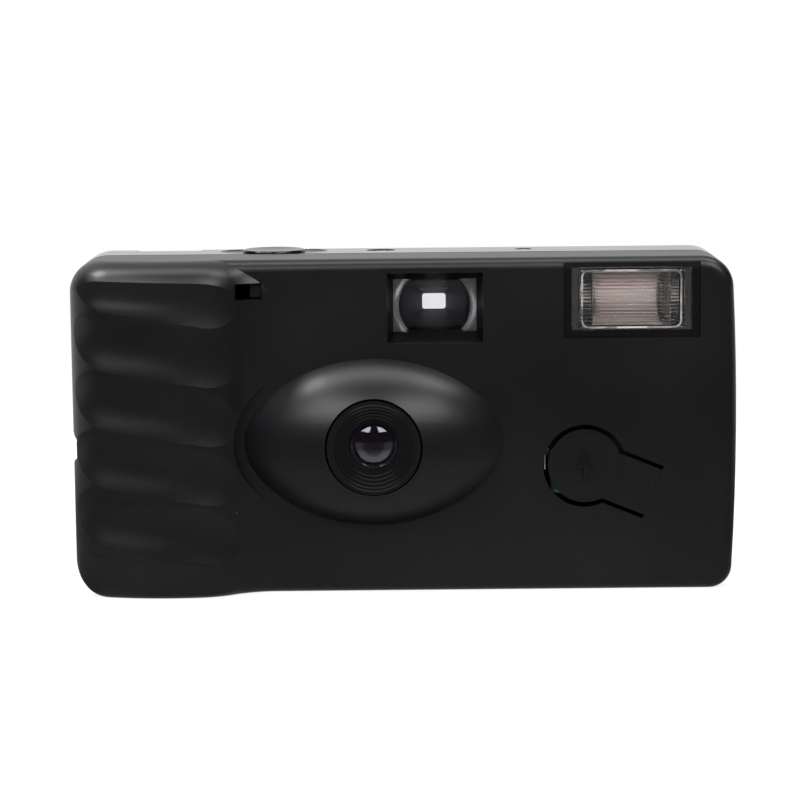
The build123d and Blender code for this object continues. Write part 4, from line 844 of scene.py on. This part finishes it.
class CAMPART_OT_flash(bpy.types.Operator):
    """Flash window, reflector and tube"""

    bl_idname = "campart.flash"
    bl_label = "Flash"

    def execute(self, context):
        settings = context.scene.campart_flash
        assign(clear_plastic("flash_window_plastic", (0.96, 0.95, 0.94), 0.03), "flash_window")
        assign(self.reflector_metal(tuple(settings.metal_colour)), "flash_reflector")
        assign(clear_plastic("tube_glass", (0.97, 0.97, 0.98), 0.01, 1.47), "flash_tube")
        assign(plain_metal("electrode_metal", (0.3, 0.29, 0.28), 0.42), "tube_electrodes")
        return {"FINISHED"}

    def reflector_metal(self, colour):
        """Rolled metal with lengthwise streaks, painted reflections in bright and dark bands along
        it, dark ends with ragged edges and painted shade along its front edge.
        """
        low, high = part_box("flash_reflector")
        middle = (low + high) / 2
        finish = Finish("reflector_metal")
        x, y, z = finish.axes()
        streak = finish.noise(1.0, 2.0, finish.mapped((20.0, 900.0, 900.0)))
        broad = finish.noise(1.0, 1.0, finish.mapped((15.0, 300.0, 420.0)))
        ragged = finish.noise(1.0, 2.0, finish.mapped((0.0, 0.0, 620.0)))
        darker = [part * 0.45 for part in colour]
        lighter = [min(1.0, part * 2.4) for part in colour]
        bright = (0.95, 0.85, 0.82)
        tone = finish.blend(streak.ramp(0.38, 0.6), darker, colour)
        tone = finish.blend(broad.ramp(0.45, 0.7) * 0.5, tone, lighter)
        # Painted reflections: bright, paler and darker bands at fixed heights
        for height, half_width, share, band in (
            (-1.3, 1.1, 0.75, darker),
            (3.4, 0.9, 0.3, darker),
            (0.8, 1.2, 0.3, lighter),
            (2.1, 0.35, 1.0, bright),
            (-2.6, 0.45, 1.0, bright),
            (-3.8, 0.5, 0.5, lighter),
        ):
            painted_reflection_band = abs(z - middle.z - mm(height)).ramp(0.0, mm(half_width), share, 0.0)
            tone = finish.blend(painted_reflection_band, tone, band)
        ragged_depth, dent_depth, dent_height = mm(1.8), mm(1.6), middle.z - mm(1.6)
        dark_right_end, dark_left_end, edge_depth = mm(5.7), mm(6.5), mm(0.08)
        right = (x - middle.x + ragged * ragged_depth).ramp(dark_right_end, dark_right_end + mm(0.3))
        dent = abs(z - dent_height).ramp(mm(0.5), mm(1.6), dent_depth, 0.0)
        left = (middle.x - x + dent).ramp(dark_left_end, dark_left_end + mm(0.2))
        # Painted shade along the front edge, joined to the dark ragged ends
        edge = (y < low.y + edge_depth) * 0.8
        dark_ends_and_edge_shade = right.largest(left).largest(edge)
        tone = finish.blend(dark_ends_and_edge_shade, tone, (0.03, 0.028, 0.028))
        normal = finish.bump(streak, 0.25, mm(0.05))
        shader = finish.principled(
            Base_Color=tone, Metallic=1.0, Roughness=0.46 + (streak - 0.5) * 0.2, Normal=normal
        )
        return finish.surface(shader)


class CAMPART_OT_flash_rim(bpy.types.Operator):
    """The rounded rim on the flash window, coloured as a painted highlight, palest at the gate mark
    """

    bl_idname = "campart.flash_rim"
    bl_label = "Flash rim"

    def execute(self, context):
        width, height, corner = mm(17.3), mm(10.1), mm(1.3)
        wall, depth, proud, shift = mm(0.32), mm(0.25), mm(0.02), mm(-0.1)
        low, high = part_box("flash_window")
        middle = (low + high) / 2
        clear_selection()
        bpy.ops.mesh.primitive_plane_add(
            size=1.0,
            location=(middle.x + shift, low.y - proud, middle.z),
            rotation=(pi / 2, 0.0, 0.0),
        )
        rim = bpy.context.object
        rim.scale = (width, height, 1.0)
        bpy.ops.object.transform_apply(location=False, rotation=False, scale=True)
        bpy.ops.object.mode_set(mode="EDIT")
        bpy.ops.mesh.select_all(action="SELECT")
        bpy.ops.mesh.bevel(affect="VERTICES", offset=corner, segments=5)
        bpy.ops.mesh.select_all(action="SELECT")
        bpy.ops.mesh.inset(thickness=wall)
        bpy.ops.mesh.delete(type="FACE")
        bpy.ops.mesh.select_all(action="SELECT")
        bpy.ops.mesh.extrude_region_move(TRANSFORM_OT_translate={"value": (0.0, depth, 0.0)})
        bpy.ops.mesh.select_all(action="SELECT")
        bpy.ops.mesh.normals_make_consistent(inside=False)
        bpy.ops.object.mode_set(mode="OBJECT")
        soften(rim, mm(0.06))
        settle(rim, "flash_window_rim", "camera_body", self.rim_plastic())
        return {"FINISHED"}

    def rim_plastic(self):
        """Plastic coloured pale as a painted highlight on the window's edge, unevenly along its
        length and palest at the gate.
        """
        finish = Finish("rim_plastic")
        painted_light = finish.noise(420.0, 2.0)
        low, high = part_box("flash_window")
        middle = (low + high) / 2
        x, y, z = finish.axes()
        gate_height, gate_half = mm(1.0), mm(2.6)
        gate = (z < low.z + gate_height) * (abs(x - middle.x) < gate_half)
        # Painted highlight: the rim's colour stands in for light on the window's rounded edge
        tone = finish.blend(painted_light.ramp(0.35, 0.65), (0.05, 0.045, 0.045), (0.21, 0.19, 0.185))
        tone = finish.blend(gate, tone, (0.3, 0.25, 0.24))
        normal = finish.bump(painted_light, 0.1, mm(0.1))
        shader = finish.principled(Base_Color=tone, Roughness=0.18, IOR=1.49, Normal=normal)
        return finish.surface(shader)


class CAMPART_OT_flash_mark(bpy.types.Operator):
    """The small bolt on the flash button"""

    bl_idname = "campart.flash_mark"
    bl_label = "Flash mark"

    def execute(self, context):
        settings = context.scene.campart_flash
        height = settings.mark_height
        low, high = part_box("flash_button")
        mark_x, mark_z = mm(31.2), mm(21.9)
        centre = Vector((mark_x, low.y, mark_z))
        outline = (
            (0.07, 0.5),
            (-0.24, -0.06),
            (-0.03, -0.06),
            (-0.07, -0.5),
            (0.24, 0.06),
            (0.03, 0.06),
        )
        clear_selection()
        bpy.ops.mesh.primitive_circle_add(
            vertices=len(outline),
            radius=height / 2,
            fill_type="NGON",
            location=centre,
            rotation=(pi / 2, 0.0, 0.0),
        )
        mark = bpy.context.object
        for vertex, (across, up) in zip(mark.data.vertices, outline):
            vertex.co = (across * height, up * height, 0.0)
        bpy.ops.object.mode_set(mode="EDIT")
        bpy.ops.mesh.select_all(action="SELECT")
        bpy.ops.mesh.extrude_region_move(
            TRANSFORM_OT_translate={"value": (0.0, -settings.mark_relief, 0.0)}
        )
        bpy.ops.mesh.select_all(action="SELECT")
        bpy.ops.mesh.normals_make_consistent(inside=False)
        bpy.ops.object.mode_set(mode="OBJECT")
        soften(mark, mm(0.03))
        colour = tuple(context.scene.campart_cover.colour)
        plastic = moulded_plastic("mark_plastic", colour, 0.3, grain=0.5, specks=0.0)
        settle(mark, "flash_button_mark", "charge_button", plastic)
        return {"FINISHED"}


# Electronics and battery

class CAMPART_OT_electronics(bpy.types.Operator):
    """Board and its terminal, capacitor, coils, lamp, battery and contacts"""

    bl_idname = "campart.electronics"
    bl_label = "Electronics"

    def execute(self, context):
        assign(self.board_laminate(), "flash_board")
        assign(self.capacitor_sleeve(), "flash_capacitor")
        assign(self.windings(), "flash_transformer", "trigger_coil")
        assign(self.neon(), "ready_lamp")
        assign(clear_plastic("light_pipe_plastic", (0.9, 0.86, 0.8), 0.12), "light_pipe")
        assign(self.cell(), "battery")
        spring = plain_metal("spring_steel", (0.62, 0.6, 0.58), 0.3, (1.0, 1.0, 6.0), 700.0)
        assign(spring, "switch_leaf", "positive_contact", "negative_contact")
        self.terminal()
        return {"FINISHED"}

    def terminal(self):
        """A bent strip of tinned metal on the board's edge, seen through the button's gap."""
        path = ((25.4, -5.3), (24.6, -5.7), (24.3, -6.7), (24.2, -7.9), (24.2, -8.7))
        middle_z, width, thickness = 22.9, 3.4, 0.2
        clear_selection()
        bpy.ops.mesh.primitive_grid_add(x_subdivisions=len(path) - 1, y_subdivisions=1, size=1.0)
        strip = bpy.context.object
        for vertex in strip.data.vertices:
            x, y = path[round((vertex.co.x + 0.5) * (len(path) - 1))]
            vertex.co = (mm(x), mm(y), mm(middle_z + vertex.co.y * width))
        sheet = strip.modifiers.new("sheet", "SOLIDIFY")
        sheet.thickness = mm(thickness)
        bpy.ops.object.modifier_apply(modifier=sheet.name)
        soften(strip, mm(0.04))
        tin = plain_metal("solder_tin", (0.95, 0.84, 0.8), 0.3, depth=0.3)
        settle(strip, "board_terminal", "camera_body", tin)

    def board_laminate(self):
        """Green with raised tracks on the rear and on a round spot, and painted shade, near black,
        elsewhere.
        """
        finish = Finish("board_laminate")
        tracks = finish.add(
            "ShaderNodeTexBrick",
            {"offset": 0.35, "squash": 1.4},
            {
                "Vector": finish.mapped((1.0, 1.0, 1.0), turn=(pi / 2, 0.0, 0.0)),
                "Scale": 260.0,
                "Mortar Size": 0.09,
                "Mortar Smooth": 0.1,
                "Brick Width": 1.3,
                "Row Height": 0.55,
            },
            output="Fac",
        )
        cloud = finish.noise(300.0, 2.0)
        x, y, z = finish.axes()
        spot_x, spot_z, rear_y = mm(27.8), mm(17.4), mm(-5.1)
        away = ((x - spot_x) ** 2.0 + (z - spot_z) ** 2.0) ** 0.5
        unshaded_green = away.ramp(mm(1.2), mm(3.0), 1.0, 0.0).largest(y > rear_y)
        tone = finish.blend(tracks, (0.012, 0.085, 0.04), (0.025, 0.2, 0.08))
        tone = finish.blend(cloud.ramp(0.5, 0.8) * 0.3, tone, (0.01, 0.05, 0.03))
        # Painted shade: near black outside the round spot and the rear
        tone = finish.blend(unshaded_green, (0.002, 0.0045, 0.0035), tone)
        normal = finish.bump(tracks, 0.3, mm(0.04))
        shader = finish.principled(Base_Color=tone, Roughness=0.28 + cloud * 0.1, Normal=normal)
        return finish.surface(shader)

    def capacitor_sleeve(self):
        """Shrunk dark sleeve round a can whose top is bare aluminium."""
        low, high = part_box("flash_capacitor")
        middle = (low + high) / 2
        finish = Finish("capacitor_sleeve")
        x, y, z = finish.axes()
        radius = ((x - middle.x) ** 2.0 + (y - middle.y) ** 2.0) ** 0.5
        end_depth, end_radius = mm(0.05), mm(3.9)
        bare = (z > high.z - end_depth) * (radius < end_radius)
        wrinkle = finish.noise(240.0, 3.0, finish.mapped((1.0, 1.0, 0.2)))
        tone = finish.blend(bare, (0.012, 0.016, 0.035), (0.6, 0.6, 0.6))
        normal = finish.bump(wrinkle, 0.1, mm(0.2))
        shader = finish.principled(
            Base_Color=tone, Metallic=bare, Roughness=0.22 + wrinkle * 0.12, Normal=normal
        )
        return finish.surface(shader)

    def windings(self):
        """Lacquered copper wire wound layer by layer."""
        finish = Finish("copper_windings")
        z = finish.axes()[2]
        wire_pitch = mm(0.2)
        wire = (z * (2 * pi / wire_pitch)).sine()
        cloud = finish.noise(500.0, 3.0)
        tone = finish.blend(wire.ramp(-0.8, 0.8), (0.12, 0.035, 0.012), (0.5, 0.2, 0.07))
        tone = finish.blend(cloud.ramp(0.5, 0.8) * 0.4, tone, (0.2, 0.08, 0.03))
        normal = finish.bump(wire, 0.5, mm(0.06))
        shader = finish.principled(
            Base_Color=tone, Metallic=0.7, Roughness=0.3 + cloud * 0.1, Normal=normal
        )
        return finish.surface(shader)

    def neon(self):
        """Small glass lamp with a warm tint."""
        finish = Finish("neon_glass")
        tip = finish.noise(600.0, 2.0)
        shader = finish.principled(
            Base_Color=(0.95, 0.62, 0.4),
            Roughness=0.05 + tip * 0.04,
            IOR=1.47,
            Transmission_Weight=1.0,
        )
        return finish.surface(finish.clear(shader))

    def cell(self):
        """A plain sleeve in two tones, with bare steel at both ends."""
        low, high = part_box("battery")
        finish = Finish("battery_sleeve")
        x = finish.axes()[0]
        cap_left, cap_right, band_width = mm(2.0), mm(1.7), mm(16.0)
        from_left = x - low.x
        from_right = high.x - x
        bare = (from_left < cap_left).largest(from_right < cap_right)
        band = from_left < band_width
        scuff = finish.noise(350.0, 4.0)
        tone = finish.blend(band, (0.05, 0.05, 0.055), (0.42, 0.4, 0.36))
        tone = finish.blend(bare, tone, (0.66, 0.65, 0.63))
        tone = finish.blend(scuff.ramp(0.6, 0.8) * 0.25, tone, (0.3, 0.3, 0.3))
        rough = 0.26 + (scuff - 0.5) * 0.2
        normal = finish.bump(scuff, 0.06, mm(0.05))
        shader = finish.principled(
            Base_Color=tone, Metallic=bare * 0.4 + 0.6, Roughness=rough, Normal=normal
        )
        return finish.surface(shader)


# Shutter and winding

class CAMPART_OT_mechanism(bpy.types.Operator):
    """Shutter, levers, springs and the counter's dial and window"""

    bl_idname = "campart.mechanism"
    bl_label = "Mechanism"

    def execute(self, context):
        steel = plain_metal("thin_steel", (0.5, 0.5, 0.5), 0.34, (6.0, 1.0, 1.0), 600.0)
        assign(steel, "striker", "striker_spring", "shutter_spring")
        black = moulded_plastic(
            "blackened_sheet", (0.012, 0.012, 0.014), 0.34, grain=0.5, specks=0.0
        )
        assign(black, "shutter_blade")
        white = moulded_plastic("white_plastic", (0.62, 0.62, 0.6), 0.42, grain=0.6, specks=0.2)
        assign(white, "metering_lever", "counter_dial")
        assign(clear_plastic("counter_window_plastic", (0.93, 0.94, 0.95), 0.02), "counter_window")
        return {"FINISHED"}


class CAMPART_OT_counter_numbers(bpy.types.Operator):
    """Plain raised numbers and dots round the counter's dial"""

    bl_idname = "campart.counter_numbers"
    bl_label = "Counter numbers"

    def execute(self, context):
        low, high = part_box("counter_dial")
        centre = (low + high) / 2
        ink = moulded_plastic("counter_ink", (0.01, 0.01, 0.012), 0.5, grain=0.3, specks=0.0)
        count, radius, relief = 25, mm(6.6), mm(0.03)
        number_size, dot_radius = mm(1.9), mm(0.28)
        made = []
        for index in range(count):
            angle = 2 * pi * index / count
            across, back = radius * sin(angle), radius * cos(angle)
            place = Vector((centre.x + across, centre.y + back, high.z + relief))
            clear_selection()
            if index % 2 == 0:
                bpy.ops.object.text_add(location=place, rotation=(0.0, 0.0, -angle))
                text = bpy.context.object
                text.data.body = str(index)
                text.data.size = number_size
                text.data.align_x = "CENTER"
                text.data.align_y = "CENTER"
                text.data.extrude = relief
                bpy.ops.object.convert(target="MESH")
            else:
                bpy.ops.mesh.primitive_circle_add(
                    vertices=16, radius=dot_radius, fill_type="NGON", location=place
                )
                bpy.ops.object.mode_set(mode="EDIT")
                bpy.ops.mesh.select_all(action="SELECT")
                bpy.ops.mesh.extrude_region_move(
                    TRANSFORM_OT_translate={"value": (0.0, 0.0, relief)}
                )
                bpy.ops.mesh.select_all(action="SELECT")
                bpy.ops.mesh.normals_make_consistent(inside=False)
                bpy.ops.object.mode_set(mode="OBJECT")
            made.append(bpy.context.object)
        clear_selection()
        for piece in made:
            piece.select_set(True)
        bpy.context.view_layer.objects.active = made[0]
        bpy.ops.object.join()
        settle(bpy.context.object, "counter_numbers", "counter", ink)
        return {"FINISHED"}


# Film

class CAMPART_OT_film(bpy.types.Operator):
    """Film, its rolls and the cassette"""

    bl_idname = "campart.film"
    bl_label = "Film and cassette"

    def execute(self, context):
        for node in ("wound_film", "supply_roll"):
            low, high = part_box(node)
            middle = (low + high) / 2
            assign(film_layers(node + "_turns", middle.x, middle.y), node)
        assign(self.film_sheet(), "film_strip")
        assign(self.lacquer("cassette_lacquer", (0.05, 0.055, 0.06)), "cassette_shell")
        caps = self.lacquer("cap_lacquer", (0.012, 0.012, 0.013))
        assign(caps, "cassette_top_cap", "cassette_bottom_cap")
        return {"FINISHED"}

    def film_sheet(self):
        """Glossy grey-brown film."""
        finish = Finish("film_sheet")
        cloud = finish.noise(60.0, 2.0)
        streak = finish.noise(200.0, 3.0, finish.mapped((0.05, 1.0, 1.0)))
        tone = finish.blend(cloud.ramp(0.3, 0.7), (0.16, 0.12, 0.11), (0.24, 0.18, 0.15))
        normal = finish.bump(streak, 0.05, mm(0.2))
        shader = finish.principled(
            Base_Color=tone, Roughness=0.12 + streak * 0.1, IOR=1.5, Normal=normal
        )
        return finish.surface(shader)

    def lacquer(self, name, colour):
        """Lacquered thin steel with a few fine scratches."""
        finish = Finish(name)
        scratch = finish.noise(900.0, 4.0, finish.mapped((1.0, 1.0, 0.08)))
        line = scratch.ramp(0.66, 0.72)
        tone = finish.blend(line * 0.5, colour, (0.3, 0.3, 0.3))
        rough = 0.3 + scratch * 0.14
        normal = finish.bump(scratch, 0.04, mm(0.03))
        shader = finish.principled(Base_Color=tone, Roughness=rough, Normal=normal)
        return finish.surface(shader)


# Panel and registration

OPERATORS = (
    CAMPART_OT_stage,
    CAMPART_OT_covers,
    CAMPART_OT_optics,
    CAMPART_OT_flash,
    CAMPART_OT_flash_rim,
    CAMPART_OT_flash_mark,
    CAMPART_OT_electronics,
    CAMPART_OT_mechanism,
    CAMPART_OT_counter_numbers,
    CAMPART_OT_film,
)


class CAMPART_PT_panel(bpy.types.Panel):
    """Lists the camera's operators and settings"""

    bl_idname = "CAMPART_PT_panel"
    bl_label = "Disposable film camera"
    bl_space_type = "VIEW_3D"
    bl_region_type = "UI"
    bl_category = "Camera part"

    def draw(self, context):
        layout = self.layout
        scene = context.scene
        for name in SETTINGS:
            group = getattr(scene, name)
            box = layout.box()
            for key in group.__annotations__:
                box.prop(group, key)
        for operator in OPERATORS:
            layout.operator(operator.bl_idname)


SETTINGS = {
    "campart_cover": CoverSettings,
    "campart_optics": OpticsSettings,
    "campart_flash": FlashSettings,
    "campart_stage": StageSettings,
}
CLASSES = (*SETTINGS.values(), *OPERATORS, CAMPART_PT_panel)


def register():
    for entry in CLASSES:
        bpy.utils.register_class(entry)
    for name, group in SETTINGS.items():
        setattr(bpy.types.Scene, name, bpy.props.PointerProperty(type=group))


def unregister():
    for name in SETTINGS:
        delattr(bpy.types.Scene, name)
    for entry in reversed(CLASSES):
        bpy.utils.unregister_class(entry)


def main():
    register()
    for operator in OPERATORS:
        family, name = operator.bl_idname.split(".")
        getattr(getattr(bpy.ops, family), name)()


if __name__ == "__main__":
    main()
